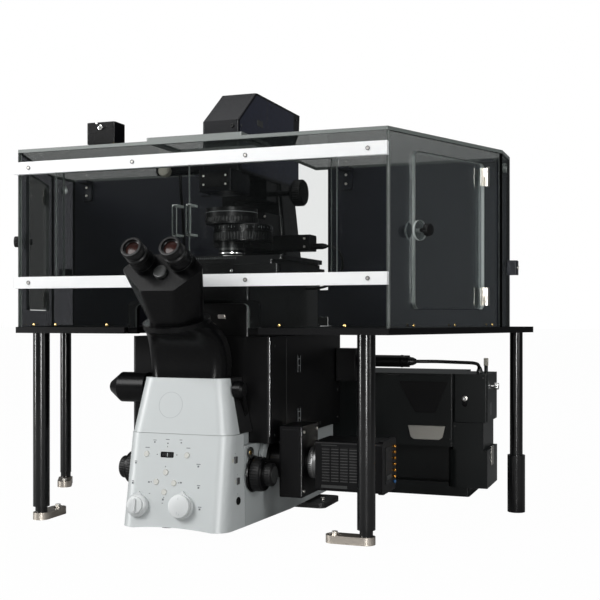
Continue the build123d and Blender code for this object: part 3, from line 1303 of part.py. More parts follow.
PARTS = {
    "base_plates": base_plates(),
    "legs": legs(),
    "foot_clamps": foot_clamps(),
    "front_panel": front_panel(),
    "side_panels": side_panels(),
    "back_panels": back_panels(),
    "top_panels": top_panels(),
    "rails": rails(),
    "fasteners": fasteners(),
    "nose_collar": nose_collar(),
    "indicator_box": indicator_box(),
    "console_base": console_base(),
    "console_cover": console_cover(),
    "scope_chassis": scope_chassis(),
    "scope_body": scope_body(),
    "stage_base": stage_base(),
    "front_neck": front_neck(),
    "binocular_head": binocular_head(),
    "side_grips": side_grips(),
    "pillar": pillar(),
    "lamp_head": lamp_head(),
    "relay_box": relay_box(),
    "side_camera": side_camera(),
    "unit_housing": unit_housing(),
    "fibre_coupler": fibre_coupler(),
    "fibre_cable": cable("fibre_cable", FIBRE_ROUTE, FIBRE_R),
    "condenser_cable": cable("condenser_cable", CONDENSER_CABLE_ROUTE, CONDENSER_CABLE_R),
    "lamp_cable": cable("lamp_cable", LAMP_CABLE_ROUTE, LAMP_CABLE_R),
    "coarse_knobs": coarse_knobs(),
    "fine_knobs": fine_knobs(),
    "focus_carriage": focus_carriage(),
    "nosepiece": nosepiece(),
    "stage_y_carriage": stage_y_carriage(),
    "stage_x_carriage": stage_x_carriage(),
    "condenser_carrier": condenser_carrier(),
    "condenser_turret": condenser_turret(),
    "condenser_knob": condenser_knob(),
    "field_knob": field_knob(),
}
door_leaves = [hinge_half(z0, False) for z0 in HINGE_Z]
for side, word in ((-1, "left"), (1, "right")):
    own = on_left if side < 0 else (lambda solid: solid)
    PARTS["front_door_" + word] = front_door(side)
    PARTS["side_door_" + word] = [own(p) for p in side_door()]
    PARTS["door_leaves_" + word] = [own(p) for p in door_leaves]
    PARTS["side_latch_" + word] = [own(p) for p in side_latch()]
    PARTS["eye_tube_" + word] = eye_tube(side)
    PARTS["eyepiece_" + word] = eyepiece(side)
for name in FRONT_KEYS:
    PARTS[name] = front_key(name)
for name in DIALS:
    PARTS[name] = front_dial(name)
for name, at in SIDE_KEYS.items():
    PARTS[name] = side_key(at)

# The origin is on the table top, in the middle of the whole instrument
BOUNDS = Compound([solid for solids in PARTS.values() for solid in solids]).bounding_box()
CENTRE = ((BOUNDS.min.X + BOUNDS.max.X) / 2, (BOUNDS.min.Y + BOUNDS.max.Y) / 2)

os.makedirs("parts", exist_ok=True)
for name, solids in PARTS.items():
    whole = Compound([Pos(-CENTRE[0], -CENTRE[1], 0) * solid for solid in solids])
    export_step(whole, "parts/" + name + ".step")
print("nodes", len(PARTS), "centre", CENTRE)
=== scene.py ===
# %% [markdown]
# # A microscope in an acrylic enclosure
# The imported CAD model is the frame, and everything here is either a finish for one of its parts
# or a small piece that sits on it. The first cell loads the frame and reads where its front sheet
# stands.

# %% Load the frame
import json

import bpy
import numpy as np
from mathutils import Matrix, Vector

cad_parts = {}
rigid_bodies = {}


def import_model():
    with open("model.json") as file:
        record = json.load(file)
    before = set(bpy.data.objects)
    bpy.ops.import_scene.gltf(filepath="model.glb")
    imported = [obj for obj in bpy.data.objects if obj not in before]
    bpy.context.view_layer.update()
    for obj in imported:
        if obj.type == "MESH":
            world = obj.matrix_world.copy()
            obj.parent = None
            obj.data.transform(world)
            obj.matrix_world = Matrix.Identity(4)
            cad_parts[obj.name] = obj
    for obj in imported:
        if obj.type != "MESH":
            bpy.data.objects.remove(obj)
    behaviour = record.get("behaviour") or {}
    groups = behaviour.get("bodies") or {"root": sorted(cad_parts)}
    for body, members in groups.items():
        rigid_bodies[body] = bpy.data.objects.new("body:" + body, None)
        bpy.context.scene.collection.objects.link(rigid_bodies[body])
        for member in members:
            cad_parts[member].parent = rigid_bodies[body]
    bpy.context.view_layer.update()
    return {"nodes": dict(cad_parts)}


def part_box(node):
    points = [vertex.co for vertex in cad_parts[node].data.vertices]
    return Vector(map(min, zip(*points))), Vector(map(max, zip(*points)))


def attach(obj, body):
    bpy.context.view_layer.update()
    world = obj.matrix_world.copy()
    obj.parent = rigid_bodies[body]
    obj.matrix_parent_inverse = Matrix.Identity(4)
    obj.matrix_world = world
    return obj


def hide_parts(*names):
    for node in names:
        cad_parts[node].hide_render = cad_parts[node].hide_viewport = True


for leftover in list(bpy.data.objects):
    bpy.data.objects.remove(leftover)
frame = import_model()
FRONT_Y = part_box("front_panel")[0].y * 1000
print("frame loaded,", len(frame["nodes"]), "nodes, front sheet at", round(FRONT_Y, 3), "mm")

# %% [markdown]
# ## Places
# Places are millimetres: x from the middle of the enclosure, y back from its front sheet and z up
# from the floor. The side sheets flare out from the ends of the front sheet, and many small pieces
# share one face, so the flare and those faces have names.

# %% Directions and faces
RIGHT, LEFT, FRONT, BACK, UP = (1, 0, 0), (-1, 0, 0), (0, -1, 0), (0, 1, 0), (0, 0, 1)
SIDES = ((-1, "left", LEFT), (1, "right", RIGHT))
SCOPE_X = -6.0
OPTIC_Y = 190.0
BODY_SIDE_X = 128.0
CAMERA_SIDE_Y = 60.5
CAMERA_END_X = 325.0
LAMP_HALF = 37.0
UNIT_FRONT_Y = 500.0
UNIT_SIDE_X = 423.0
FRONT_HALF = 350.0
FLARE_WIDE, FLARE_DEEP = 134.0, 309.0
FLARE_OUT = np.array((FLARE_DEEP, -FLARE_WIDE, 0.0)) / np.hypot(FLARE_DEEP, FLARE_WIDE)
FLARE_ALONG = np.array((FLARE_WIDE, FLARE_DEEP, 0.0)) / np.hypot(FLARE_DEEP, FLARE_WIDE)


def place(x, y, z):
    """A place in millimetres, given back as metres in the frame."""
    return Vector((x, y + FRONT_Y, z)) / 1000


print("the side sheets flare", round(np.degrees(np.arctan2(FLARE_WIDE, FLARE_DEEP)), 1), "degrees")

# %% [markdown]
# ## The camera
# The picture was taken from the front right, at the height of the eyepieces, with the camera held
# level. A level camera keeps the legs upright, and a small shift lowers the horizon in the frame
# in place of a tilt.

# %% Camera
VIEW_FROM = (783.5, -1596.5, 370.7)
VIEW_TURN = 20.06
FOCAL_LENGTH = 61.76
HORIZON_SHIFT = 0.0279
view_data = bpy.data.cameras.new("view")
view_data.sensor_width = 36.0
view_data.lens = FOCAL_LENGTH
view_data.shift_y = HORIZON_SHIFT
view = bpy.data.objects.new("view", view_data)
bpy.context.scene.collection.objects.link(view)
view.location = place(*VIEW_FROM)
view.rotation_euler = (np.pi / 2, 0, np.radians(VIEW_TURN))
bpy.context.scene.camera = view
bpy.context.scene.view_settings.view_transform = "Standard"
print("camera set, focal length", FOCAL_LENGTH, "mm")

# %% [markdown]
# ## Cables
# Each cable is a fixed length of rubber-sheathed lead between two sockets, so it is a smooth
# NURBS line whose control points are the ones the solid cable was routed through. A round bevel
# gives it its thickness.


# %% Cables
def cable(name, route, radius):
    """A cable as a smooth line through its route; the points are millimetres."""
    data = bpy.data.curves.new(name, "CURVE")
    data.dimensions = "3D"
    line = data.splines.new("NURBS")
    line.points.add(len(route) - 1)
    for point, at in zip(line.points, route):
        point.co = (*place(*at), 1.0)
    line.order_u = 3
    line.use_endpoint_u = True
    line.resolution_u = 12
    data.bevel_depth = radius / 1000
    data.bevel_resolution = 4
    data.use_fill_caps = True
    piece = bpy.data.objects.new(name, data)
    bpy.context.scene.collection.objects.link(piece)
    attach(piece, "stand")
    return piece


FIBRE_ROUTE = [
    (279.0, 427.0, 281.0), (303.0, 427.0, 281.0), (332.0, 439.0, 281.0), (358.0, 464.0, 279.0),
    (378.0, 496.0, 277.0), (391.0, 530.0, 275.0), (397.0, 560.0, 270.0), (397.0, 560.0, 253.0),
]
CONDENSER_ROUTE = [
    (136.0, 330.0, 510.0), (150.0, 330.0, 510.0), (163.0, 338.0, 496.0), (165.0, 348.0, 474.0),
    (157.0, 353.0, 454.0), (141.0, 355.0, 438.0), (116.0, 355.0, 427.0), (84.0, 355.0, 427.0),
]
LAMP_ROUTE = [
    (-116.0, 192.0, 644.0), (-116.0, 192.0, 622.0), (-124.0, 216.0, 592.0), (-139.0, 250.0, 568.0),
    (-157.0, 289.0, 545.0), (-173.0, 323.0, 515.0), (-182.0, 343.0, 477.0), (-184.0, 350.0, 433.0),
    (-184.0, 352.0, 390.0), (-184.0, 352.0, 352.0),
]
fibre = cable("fibre_lead", FIBRE_ROUTE, 3.5)
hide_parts("fibre_cable")
place(279.0, 427.0, 281.0)
motor_lead = cable("condenser_lead", CONDENSER_ROUTE, 2.6)
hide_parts("condenser_cable")
place(136.0, 330.0, 510.0)
lamp_lead = cable("lamp_lead", LAMP_ROUTE, 3.0)
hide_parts("lamp_cable")
place(-116.0, 192.0, 644.0)
print("cables made:", fibre.name, motor_lead.name, lamp_lead.name)

# %% [markdown]
# ## Shader arithmetic
# Material patterns are easier to read as formulas than as node wiring. `Value` wraps one socket,
# and adding or multiplying two of them adds the Math node that does it. `Finish` is one material;
# its `node` method makes any other node.


# %% Shader classes
class Value:
    """A socket that can be used in Python arithmetic."""

    def __init__(self, finish, socket):
        self.finish, self.socket = finish, socket

    def math(self, operation, other, swap=False, clamp=False):
        inputs = [other, self] if swap else [self, other]
        settings = {"operation": operation, "use_clamp": clamp}
        made = self.finish.node("ShaderNodeMath", settings, dict(enumerate(inputs)))
        return Value(self.finish, made.outputs[0])

    def __add__(self, other):
        return self.math("ADD", other)

    def __sub__(self, other):
        return self.math("SUBTRACT", other)

    def __rsub__(self, other):
        return self.math("SUBTRACT", other, swap=True)

    def __mul__(self, other):
        return self.math("MULTIPLY", other)

    def __pow__(self, other):
        return self.math("POWER", other)

    def __lt__(self, other):
        return self.math("LESS_THAN", other)

    def __gt__(self, other):
        return self.math("GREATER_THAN", other)

    def clamped(self):
        return self.math("ADD", 0.0, clamp=True)


FINISHES = {}


class Finish:
    """One material: a Principled shader and the nodes that feed it, kept in FINISHES by its name."""

    def __init__(self, name):
        self.material = FINISHES[name] = bpy.data.materials.new(name)
        self.material.use_nodes = True
        self.tree = self.material.node_tree
        self.shader = self.tree.nodes["Principled BSDF"]
        self.output = self.tree.nodes["Material Output"]

    def node(self, kind, settings=None, inputs=None):
        made = self.tree.nodes.new(kind)
        for key, value in (settings or {}).items():
            setattr(made, key, value)
        for key, value in (inputs or {}).items():
            self.feed(made.inputs[key], value)
        return made

    def feed(self, socket, value):
        if isinstance(value, Value):
            value = value.socket
        if isinstance(value, bpy.types.NodeSocket):
            self.tree.links.new(value, socket)
        else:
            socket.default_value = value

    def set(self, **inputs):
        for key, value in inputs.items():
            self.feed(self.shader.inputs[key.replace("_", " ")], value)

    def read(self, kind, output, settings=None, inputs=None):
        return Value(self, self.node(kind, settings, inputs).outputs[output])

    def spot(self):
        return self.node("ShaderNodeTexCoord").outputs["Object"]

    def spot_along(self, axis):
        """Where a point of the surface is along one axis of the frame, in metres."""
        return self.read("ShaderNodeSeparateXYZ", axis, None, {"Vector": self.spot()})

    def noise(self, scale, detail=2.0, stretch=(1, 1, 1)):
        """Soft noise from 0 to 1, scale in waves per metre; a stretch makes it run one way."""
        spread = self.node("ShaderNodeMapping", None, {"Vector": self.spot(), "Scale": stretch})
        inputs = {"Vector": spread.outputs[0], "Scale": scale, "Detail": detail}
        return self.read("ShaderNodeTexNoise", "Fac", None, inputs)

    def shades(self, factor, first, second):
        """A colour between two, by a factor."""
        mix = self.node("ShaderNodeMix", {"data_type": "RGBA"}, {"Factor": factor})
        self.feed(mix.inputs[6], first)
        self.feed(mix.inputs[7], second)
        return mix.outputs[2]

    def blend(self, factor, first, second):
        """A shader between two, by a factor."""
        inputs = {0: factor, 1: first.outputs[0], 2: second.outputs[0]}
        return self.node("ShaderNodeMixShader", None, inputs)

    def show(self, shader):
        self.tree.links.new(shader.outputs[0], self.output.inputs["Surface"])


print("shader classes ready")


# %% A general finish
def surface(
    name, colour, rough, metal=0.0, vary=0.06, grain=900.0, depth=0.04, stretch=(1, 1, 1), spec=0.5,
    foot=None, rear=None,
):
    """A general finish: the base colour drifts a little, and fine grain, depth in millimetres,
    breaks the gloss. What lies below the top of a foot plate may have a colour of its own, and a
    cover may turn black behind a joint line, given as millimetres behind the front sheet."""
    foot_top, rear_black = 0.0149, (0.006, 0.006, 0.0065, 1.0)
    made = Finish(name)
    cloud = made.noise(9.0, 3.0)
    fine = made.noise(grain, 2.0, stretch)
    dark = (*(c * (1 - vary) for c in colour), 1.0)
    light = (*(min(1.0, c * (1 + vary)) for c in colour), 1.0)
    shade = made.shades(cloud, dark, light)
    if foot:
        shade = made.shades(made.spot_along("Z") > foot_top, (*foot, 1.0), shade)
    if rear:
        shade = made.shades(made.spot_along("Y") > (rear + FRONT_Y) / 1000, shade, rear_black)
    grain_height = {"Height": fine, "Distance": depth / 1000}
    made.set(
        Base_Color=shade,
        Roughness=(fine - 0.5) * 0.16 + (cloud - 0.5) * 0.10 + rough,
        Metallic=metal,
        Specular_IOR_Level=spec,
        Normal=made.node("ShaderNodeBump", None, grain_height).outputs["Normal"],
    )


print("general finish ready")


# %% [markdown]
# ## Finishes
# Powder-coated black has a fine, even grain, moulded white covers are smoother, and turned steel
# has streaks that run one way. The values are linear colours.

# %% Light finishes and metals
COVER_WHITE, NEAR_BLACK = (0.55, 0.58, 0.58), (0.014, 0.014, 0.014)
surface("white_cover", COVER_WHITE, 0.42, vary=0.02, grain=1500, depth=0.02)
surface("upper_cover", COVER_WHITE, 0.42, vary=0.02, grain=1500, depth=0.02, rear=3.0)
surface("pale_print", COVER_WHITE, 0.6, vary=0.05, grain=900, depth=0.01)
surface("grey_casting", (0.44, 0.47, 0.47), 0.5, vary=0.03, grain=1100, depth=0.05, foot=NEAR_BLACK)
surface("rail_white", (0.92, 0.93, 0.93), 0.35, vary=0.02, grain=1300, depth=0.02)
surface("key_cream", (0.60, 0.60, 0.56), 0.4, vary=0.03, grain=1500, depth=0.02)
surface("dial_grey", (0.62, 0.64, 0.64), 0.38, vary=0.02, grain=1500, depth=0.02)
surface("cream", (0.52, 0.50, 0.42), 0.4, vary=0.05, grain=900, depth=0.03)
surface("badge_line", (0.42, 0.45, 0.46), 0.5, vary=0.05, grain=900, depth=0.01)
surface("print_grey", (0.10, 0.11, 0.12), 0.6, vary=0.1, grain=900, depth=0.01)
surface("steel", (0.46, 0.42, 0.37), 0.34, metal=1.0, vary=0.12, grain=700, depth=0.03, stretch=(1, 8, 1))
surface("zinc", (0.60, 0.58, 0.54), 0.3, metal=1.0, vary=0.1, grain=900, depth=0.02)
surface("bright", (0.72, 0.72, 0.71), 0.22, metal=1.0, vary=0.05, grain=900, depth=0.01, stretch=(1, 1, 6))
# edge_shine is the finish of the thin trims that are painted highlights on rounded corners
surface("edge_shine", (0.11, 0.11, 0.11), 0.26, metal=1.0, vary=0.05, grain=60, depth=0.0)
surface("dark_steel", (0.17, 0.17, 0.17), 0.38, metal=0.8, vary=0.1, grain=900, depth=0.02)
surface("brass", (0.62, 0.43, 0.16), 0.3, metal=1.0, vary=0.1, grain=900, depth=0.02)
surface("orange", (0.52, 0.22, 0.02), 0.35, metal=0.6, vary=0.1, grain=900, depth=0.02)
surface("blue", (0.03, 0.16, 0.42), 0.35, vary=0.1, grain=900, depth=0.02)
surface(
    "plate_metal", (0.34, 0.33, 0.30), 0.32, metal=1.0, vary=0.1, grain=500, depth=0.02, stretch=(8, 1, 1)
)
print("light finishes and metals:", len(FINISHES))

# %% Dark finishes
surface("black_coat", (0.0040, 0.0040, 0.0045), 0.36, vary=0.15, grain=1600, spec=0.12)
surface("black_satin", (0.0030, 0.0030, 0.0033), 0.27, vary=0.15, grain=1400, depth=0.02, spec=0.12)
surface("unit_black", (0.0085, 0.0110, 0.0110), 0.36, vary=0.15, grain=1200, depth=0.03, spec=0.15)
surface("leg_black", (0.0030, 0.0030, 0.0034), 0.20, vary=0.15, grain=40, depth=0.0, spec=0.35)
surface("black_panel", (0.0170, 0.0185, 0.0270), 0.34, vary=0.12, grain=700, depth=0.03, spec=0.15)
surface("black_rubber", (0.0042, 0.0042, 0.0045), 0.40, vary=0.15, grain=2000, spec=0.2)
surface("blue_black", (0.0030, 0.0034, 0.0055), 0.26, vary=0.1, grain=1500, depth=0.03, spec=0.12)
surface("anodised", (0.0070, 0.0070, 0.0075), 0.3, metal=0.2, vary=0.1, grain=1800, depth=0.02, spec=0.25)
surface("key_dark", (0.05, 0.05, 0.05), 0.4, vary=0.1, grain=1500, depth=0.03)
surface("navy_panel", (0.0100, 0.0135, 0.0330), 0.26, vary=0.1, grain=900, depth=0.01, spec=0.3)
# the slats' lighter colour is a painted highlight on their edges
surface("louvre_highlight", (0.035, 0.035, 0.035), 0.4, vary=0.1, grain=1400, depth=0.02)
surface("cap_grey", (0.030, 0.032, 0.031), 0.35, vary=0.1, grain=1400, depth=0.03, spec=0.4)
surface("screen", (0.003, 0.003, 0.004), 0.15, vary=0.1, grain=400, depth=0.005, spec=0.3)
print("opaque finishes:", len(FINISHES))

# %% [markdown]
# ## Clear acrylic
# A sheet is looked through on its faces and lights up along its sawn edges. Both are one material:
# the face is mostly a clear pass with a mirror that grows at a grazing angle, and wherever the
# surface doesn't face the way the sheet faces, a frosted edge takes over. Seen nearly edge-on a
# sheet also darkens to grey-green, because the line of sight runs a long way through it.


# %% Acrylic finish
def acrylic(
    name, facing, haze=0.02, tint=0.90, deep=0.35, sheen=0.35, left=None, rim=(0.17, 0.19, 0.18, 1.0)
):
    """Acrylic whose faces point along +-facing; each component is compared with the normal's own size.
    The sheet left of the middle may pass less light: a painted reflection that stands for the black back
    panels mirrored in the sheet at a grazing angle."""
    made = Finish(name)
    normal = made.node("ShaderNodeTexCoord").outputs["Normal"]
    size = made.node("ShaderNodeVectorMath", {"operation": "ABSOLUTE"}, {0: normal})
    compared = {0: size.outputs[0], 1: facing}
    along = made.read("ShaderNodeVectorMath", "Value", {"operation": "DOT_PRODUCT"}, compared)
    edge = along < 0.85
    scratches = made.noise(160.0, 4.0)
    clear = made.node("ShaderNodeBsdfTransparent", None, {"Color": (tint, tint * 1.008, tint * 1.004, 1.0)})
    # painted reflection: left of the middle the sheet passes less light, standing for the black back panels
    # mirrored in it at a grazing angle
    if left:
        across = made.spot_along("X")
        painted_dark_reflection = made.node("ShaderNodeBsdfTransparent", None, {"Color": (left, left, left * 1.05, 1.0)})
        clear = made.blend(across < 0.0, clear, painted_dark_reflection)
    gloss_look = {"Color": (0.9, 0.95, 0.95, 1.0), "Roughness": 0.03}
    mirror = made.node("ShaderNodeBsdfAnisotropic", None, gloss_look)
    dark = made.node("ShaderNodeBsdfDiffuse", None, {"Color": (0.060, 0.072, 0.066, 1.0)})
    grazing = made.read("ShaderNodeLayerWeight", "Facing", None, {"Blend": 0.5})
    body = made.blend((grazing ** 6.0) * deep, clear, dark)
    film = made.blend(scratches * haze, body, dark)
    gloss = made.read("ShaderNodeFresnel", "Fac", None, {"IOR": 1.45}) * sheen
    face = made.blend(gloss, film, mirror)
    made.set(Base_Color=rim, Roughness=0.35)
    made.show(made.blend(edge, face, made.shader))


FLARE_FACING = tuple(np.abs(FLARE_OUT))
# painted highlight: the sawn edges of the side doors and the latch discs get a lighter rim colour that
# stands for the light those edges catch
PAINTED_HIGHLIGHT_RIM = (0.62, 0.66, 0.65, 1.0)
SIDE_DOOR = {"deep": 0.1, "rim": PAINTED_HIGHLIGHT_RIM}
acrylic("acrylic_front", BACK)
acrylic("acrylic_door_left", BACK, haze=0.012)
acrylic("acrylic_door_right", BACK, haze=0.012)
# the left side sheets and the left side door are darkened as a painted reflection of the black back panels
acrylic("acrylic_sides", FLARE_FACING, haze=0.01, tint=0.88, deep=0.1, sheen=0.25, left=0.24)
acrylic("acrylic_side_door_left", FLARE_FACING, haze=0.008, tint=0.24, sheen=0.22, **SIDE_DOOR)
acrylic("acrylic_side_door_right", FLARE_FACING, haze=0.02, tint=0.85, sheen=0.3, **SIDE_DOOR)
acrylic("acrylic_top", UP, tint=0.72, deep=0.97, sheen=0.22)
acrylic("acrylic_latch", FLARE_FACING, haze=0.35, tint=0.9, deep=0.5, rim=PAINTED_HIGHLIGHT_RIM)
print("finishes with the acrylic ones:", len(FINISHES))

# %% Give each CAD part its finish
NODE_FINISH = {
    "white_cover": ["console_base"],
    "upper_cover": ["console_cover"],
    "grey_casting": ["scope_chassis"],
    "rail_white": ["rails"],
    "black_coat": [
        "base_plates", "scope_body", "relay_box", "side_camera", "fibre_coupler", "condenser_carrier",
    ],
    "black_satin": [
        "front_neck", "binocular_head", "side_grips", "pillar", "eye_tube_left", "eye_tube_right",
        "nose_collar", "condenser_turret", "indicator_box", "condenser_knob",
    ],
    "black_panel": ["back_panels"],
    "black_rubber": [
        "coarse_knobs", "fine_knobs", "eyepiece_left", "eyepiece_right", "side_latch_left",
        "side_latch_right",
    ],
    "blue_black": ["lamp_head"],
    "leg_black": ["legs"],
    "unit_black": ["unit_housing"],
    "anodised": ["stage_base", "stage_x_carriage", "stage_y_carriage", "focus_carriage"],
    "steel": ["foot_clamps"],
    "zinc": ["fasteners", "door_leaves_left", "door_leaves_right"],
    "bright": ["nosepiece"],
    "key_cream": ["key_round_left", "key_round_right", "key_up", "key_left", "key_right", "key_down"],
    "dial_grey": ["dial_left", "dial_right"],
    "key_dark": ["side_key_upper", "side_key_lower"],
    "cream": ["field_knob"],
    "acrylic_front": ["front_panel"],
    "acrylic_door_left": ["front_door_left"],
    "acrylic_door_right": ["front_door_right"],
    "acrylic_sides": ["side_panels"],
    "acrylic_side_door_left": ["side_door_left"],
    "acrylic_side_door_right": ["side_door_right"],
    "acrylic_top": ["top_panels"],
}


def dress(piece, finish):
    """Replaces whatever material a piece has with the finish of that name."""
    piece.data.materials.clear()
    piece.data.materials.append(FINISHES[finish])


for finish, node_names in NODE_FINISH.items():
    for node_name in node_names:
        dress(frame["nodes"][node_name], finish)
for lead in (fibre, motor_lead, lamp_lead):
    dress(lead, "black_rubber")
print("parts with a finish:", sum(len(names) for names in NODE_FINISH.values()) + 3)

# %% [markdown]
# ## Surfaces from arrays
# Knurled rings, rubber cups and screw heads are all turned shapes, so one function sweeps a
# profile of (radius, height) points round an axis as whole arrays. Its radius may ripple with the
# angle, which is what makes a knurl or a ribbed grip.


# %% Meshes and sweeps
def to_mesh(name, points, faces, finish, body, smooth=True):
    """Puts points, in metres of the frame, and their faces into a mesh that rides on a body."""
    data = bpy.data.meshes.new(name)
    data.from_pydata(points.reshape(-1, 3).tolist(), [], faces)
    data.polygons.foreach_set("use_smooth", np.full(len(data.polygons), smooth))
    piece = bpy.data.objects.new(name, data)
    bpy.context.scene.collection.objects.link(piece)
    dress(piece, finish)
    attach(piece, body)
    return piece


def grid_faces(rows, columns):
    """Quads of a grid of points whose columns go round and close on themselves."""
    r, c = np.meshgrid(np.arange(rows - 1), np.arange(columns), indexing="ij")
    right = (c + 1) % columns
    below, above = r * columns, (r + 1) * columns
    return np.stack([below + c, below + right, above + right, above + c], -1).reshape(-1, 4)


def closed_faces(rows, columns):
    """The quads of a turned piece and the two polygons that close its ends."""
    ends = [list(range(columns - 1, -1, -1)), list(range((rows - 1) * columns, rows * columns))]
    return grid_faces(rows, columns).tolist() + ends


def sweep(radius, height, origin, direction):
    """Rows of radii round an axis: P = origin + r(h, a)(cos a, sin a) + h along the axis."""
    along = Vector(direction).normalized()
    across = Vector(UP).cross(along)
    across = across.normalized() if across.length > 1e-6 else Vector(RIGHT)
    angle = np.linspace(0, 2 * np.pi, radius.shape[1], endpoint=False)
    turn = np.cos(angle)[:, None] * np.array(across) + np.sin(angle)[:, None] * np.array(along.cross(across))
    points = radius[..., None] * turn + height[:, None, None] * np.array(along)
    return points / 1000 + np.array(place(*origin))


def rippled(shape, outer, columns, ribs, deep, ribbed):
    """Radii in rows: a ribbed height of the outer wall is r minus deep times half a wave per rib."""
    angle = np.linspace(0, 2 * np.pi, columns, endpoint=False)
    wave = deep * (0.5 - 0.5 * np.cos(ribs * angle))
    low, high = ribbed or (shape[:, 1].min(), shape[:, 1].max())
    inside = outer & (shape[:, 1] >= low - 1e-6) & (shape[:, 1] <= high + 1e-6)
    return shape[:, :1] - inside[:, None] * wave


print("mesh functions ready")


# %% Turned pieces
def turned(name, profile, origin, direction, finish, body="stand", around=64, ribs=0, deep=0.0, ribbed=None):
    """A turned piece with both ends closed, from its profile of (radius, height) points."""
    shape = np.array(profile, float)
    columns = max(around, ribs * 4)
    radius = rippled(shape, shape[:, 0] > 2 * deep, columns, ribs, deep, ribbed)
    points = sweep(radius, shape[:, 1], origin, direction)
    return to_mesh(name, points, closed_faces(len(shape), columns), finish, body)


def softened(piece, angle=35):
    """Keeps the sharp turns of a smooth-shaded piece crisp."""
    edges = piece.modifiers.new("crisp", "EDGE_SPLIT")
    edges.split_angle = np.radians(angle)
    return piece


def ring(
    name, profile, origin, direction, finish, body="stand", around=64, ribs=0, deep=0.0, ribbed=None,
):
    """A ring: the closed profile of (radius, height) points is swept round the axis as in turned(),
    and its last point joins its first, so that the middle stays open."""
    shape = np.array(profile, float)
    rows, columns = len(shape), max(around, ribs * 6)
    outer = shape[:, 0] > (shape[:, 0].min() + shape[:, 0].max()) / 2
    radius = rippled(shape, outer, columns, ribs, deep, ribbed)
    closing = grid_faces(2, columns)
    closing = np.where(closing < columns, closing + (rows - 1) * columns, closing - columns)
    faces = np.concatenate([grid_faces(rows, columns), closing])
    if turns_right(shape):
        faces = faces[:, ::-1]
    points = sweep(radius, shape[:, 1], origin, direction)
    return softened(to_mesh(name, points, faces.tolist(), finish, body), 32)


def band(inner, outer, low, high, cut=0.0, slope=0.0):
    """The profile of a ring with a flat rim, whose two outer corners may be cut off at a slope."""
    if not cut:
        return [(inner, low), (outer, low), (outer, high), (inner, high)]
    rim = [(outer - cut, low), (outer, low + slope), (outer, high - slope), (outer - cut, high)]
    return [(inner, low), *rim, (inner, high)]


def turns_right(outline):
    """True when an outline runs clockwise, so that its signed area is below nought."""
    after = np.roll(outline, -1, axis=0)
    return np.sum(outline[:, 0] * after[:, 1] - after[:, 0] * outline[:, 1]) < 0


def hex_screw(name, origin, direction, r, tall, finish, body="stand"):
    """A cap screw: a turned head whose middle is a six-sided socket."""
    columns = 48
    angle = np.linspace(0, 2 * np.pi, columns, endpoint=False)
    six = 0.52 * r / np.cos((angle + np.pi / 6) % (np.pi / 3) - np.pi / 6)
    head = np.full(columns, r)
    radius = np.stack([head, head, head * 0.9, six, six, six * 0.05])
    height = tall * np.array((0.0, 0.8, 1.0, 1.0, 0.35, 0.3))
    points = sweep(radius, height, origin, direction)
    return to_mesh(name, points, closed_faces(len(height), columns), finish, body, smooth=False)


def screws(name, spots, direction, r, tall, finish, body="stand"):
    """Cap screws of one kind, numbered in their names."""
    for k, spot in enumerate(spots):
        hex_screw(name + str(k), spot, direction, r, tall, finish, body)


print("turned pieces, rings and screws ready")

# %% [markdown]
# ## Plates and rows of small parts
# A plate is an outline raised by its thickness. Rows of slats, ticks and printed marks are many
# copies of one box, which are worked out together as one array and become one object.


# %% Flat pieces
def rounded_box(width, height, r, steps=5):
    """The outline of a rectangle with rounded corners, centred on nought."""
    turn = np.linspace(0, np.pi / 2, steps)
    out = []
    for k, (sx, sy) in enumerate([(1, 1), (-1, 1), (-1, -1), (1, -1)]):
        centre = np.array([sx * (width / 2 - r), sy * (height / 2 - r)])
        out.append(centre + r * np.stack([np.cos(turn + k * np.pi / 2), np.sin(turn + k * np.pi / 2)], -1))
    return np.concatenate(out)


def circle(r, steps=24):
    """The outline of a circle."""
    turn = np.linspace(0, 2 * np.pi, steps, endpoint=False)
    return r * np.stack([np.cos(turn), np.sin(turn)], -1)


def plane_axes(across, up):
    """Unit vectors across a plane, up it and out of it."""
    u, v = np.array(Vector(across).normalized()), np.array(Vector(up).normalized())
    return np.array([u, v, np.cross(u, v)])


def slab(name, outline, origin, across, up, thick, finish, body="stand", bevel=0.0):
    """A flat piece: an outline of (u, v) points raised by its thickness along across x up."""
    u, v, w = plane_axes(across, up)
    flat = np.array(outline, float)
    if turns_right(flat):
        flat = flat[::-1]
    base = flat[:, :1] * u + flat[:, 1:] * v
    count = len(flat)
    points = np.concatenate([base, base + w * thick]) / 1000 + np.array(place(*origin))
    sides = [(i, (i + 1) % count, count + (i + 1) % count, count + i) for i in range(count)]
    faces = [list(range(count - 1, -1, -1)), list(range(count, 2 * count)), *sides]
    piece = to_mesh(name, points, faces, finish, body, smooth=False)
    if bevel:
        edge = piece.modifiers.new("edge", "BEVEL")
        edge.width = bevel / 1000
        edge.segments = 2
    return piece


ACROSS_OF = {RIGHT: BACK, LEFT: FRONT, FRONT: RIGHT}


def plate(name, outline, origin, facing, thick, finish, bevel=0.0):
    """A plate on an upright face that looks right, left or forwards."""
    return slab(name, outline, origin, ACROSS_OF[facing], UP, thick, finish, bevel=bevel)


def block(name, x, y, z, finish, bevel):
    """A block between two limits on each axis, with its edges broken."""
    wide, deep = x[1] - x[0], y[1] - y[0]
    outline = rounded_box(wide, deep, min(wide, deep) * 0.12, 3)
    foot = (x[0] + wide / 2, y[0] + deep / 2, z[0])
    slab(name, outline, foot, RIGHT, BACK, z[1] - z[0], finish, bevel=bevel)


print("plates and blocks ready")

# %% Rows of boxes
BOX_CORNERS = np.array([(x, y, z) for x in (-0.5, 0.5) for y in (-0.5, 0.5) for z in (0.0, 1.0)])
BOX_FACES = np.array([(0, 1, 3, 2), (4, 6, 7, 5), (0, 4, 5, 1), (2, 3, 7, 6), (0, 2, 6, 4), (1, 5, 7, 3)])


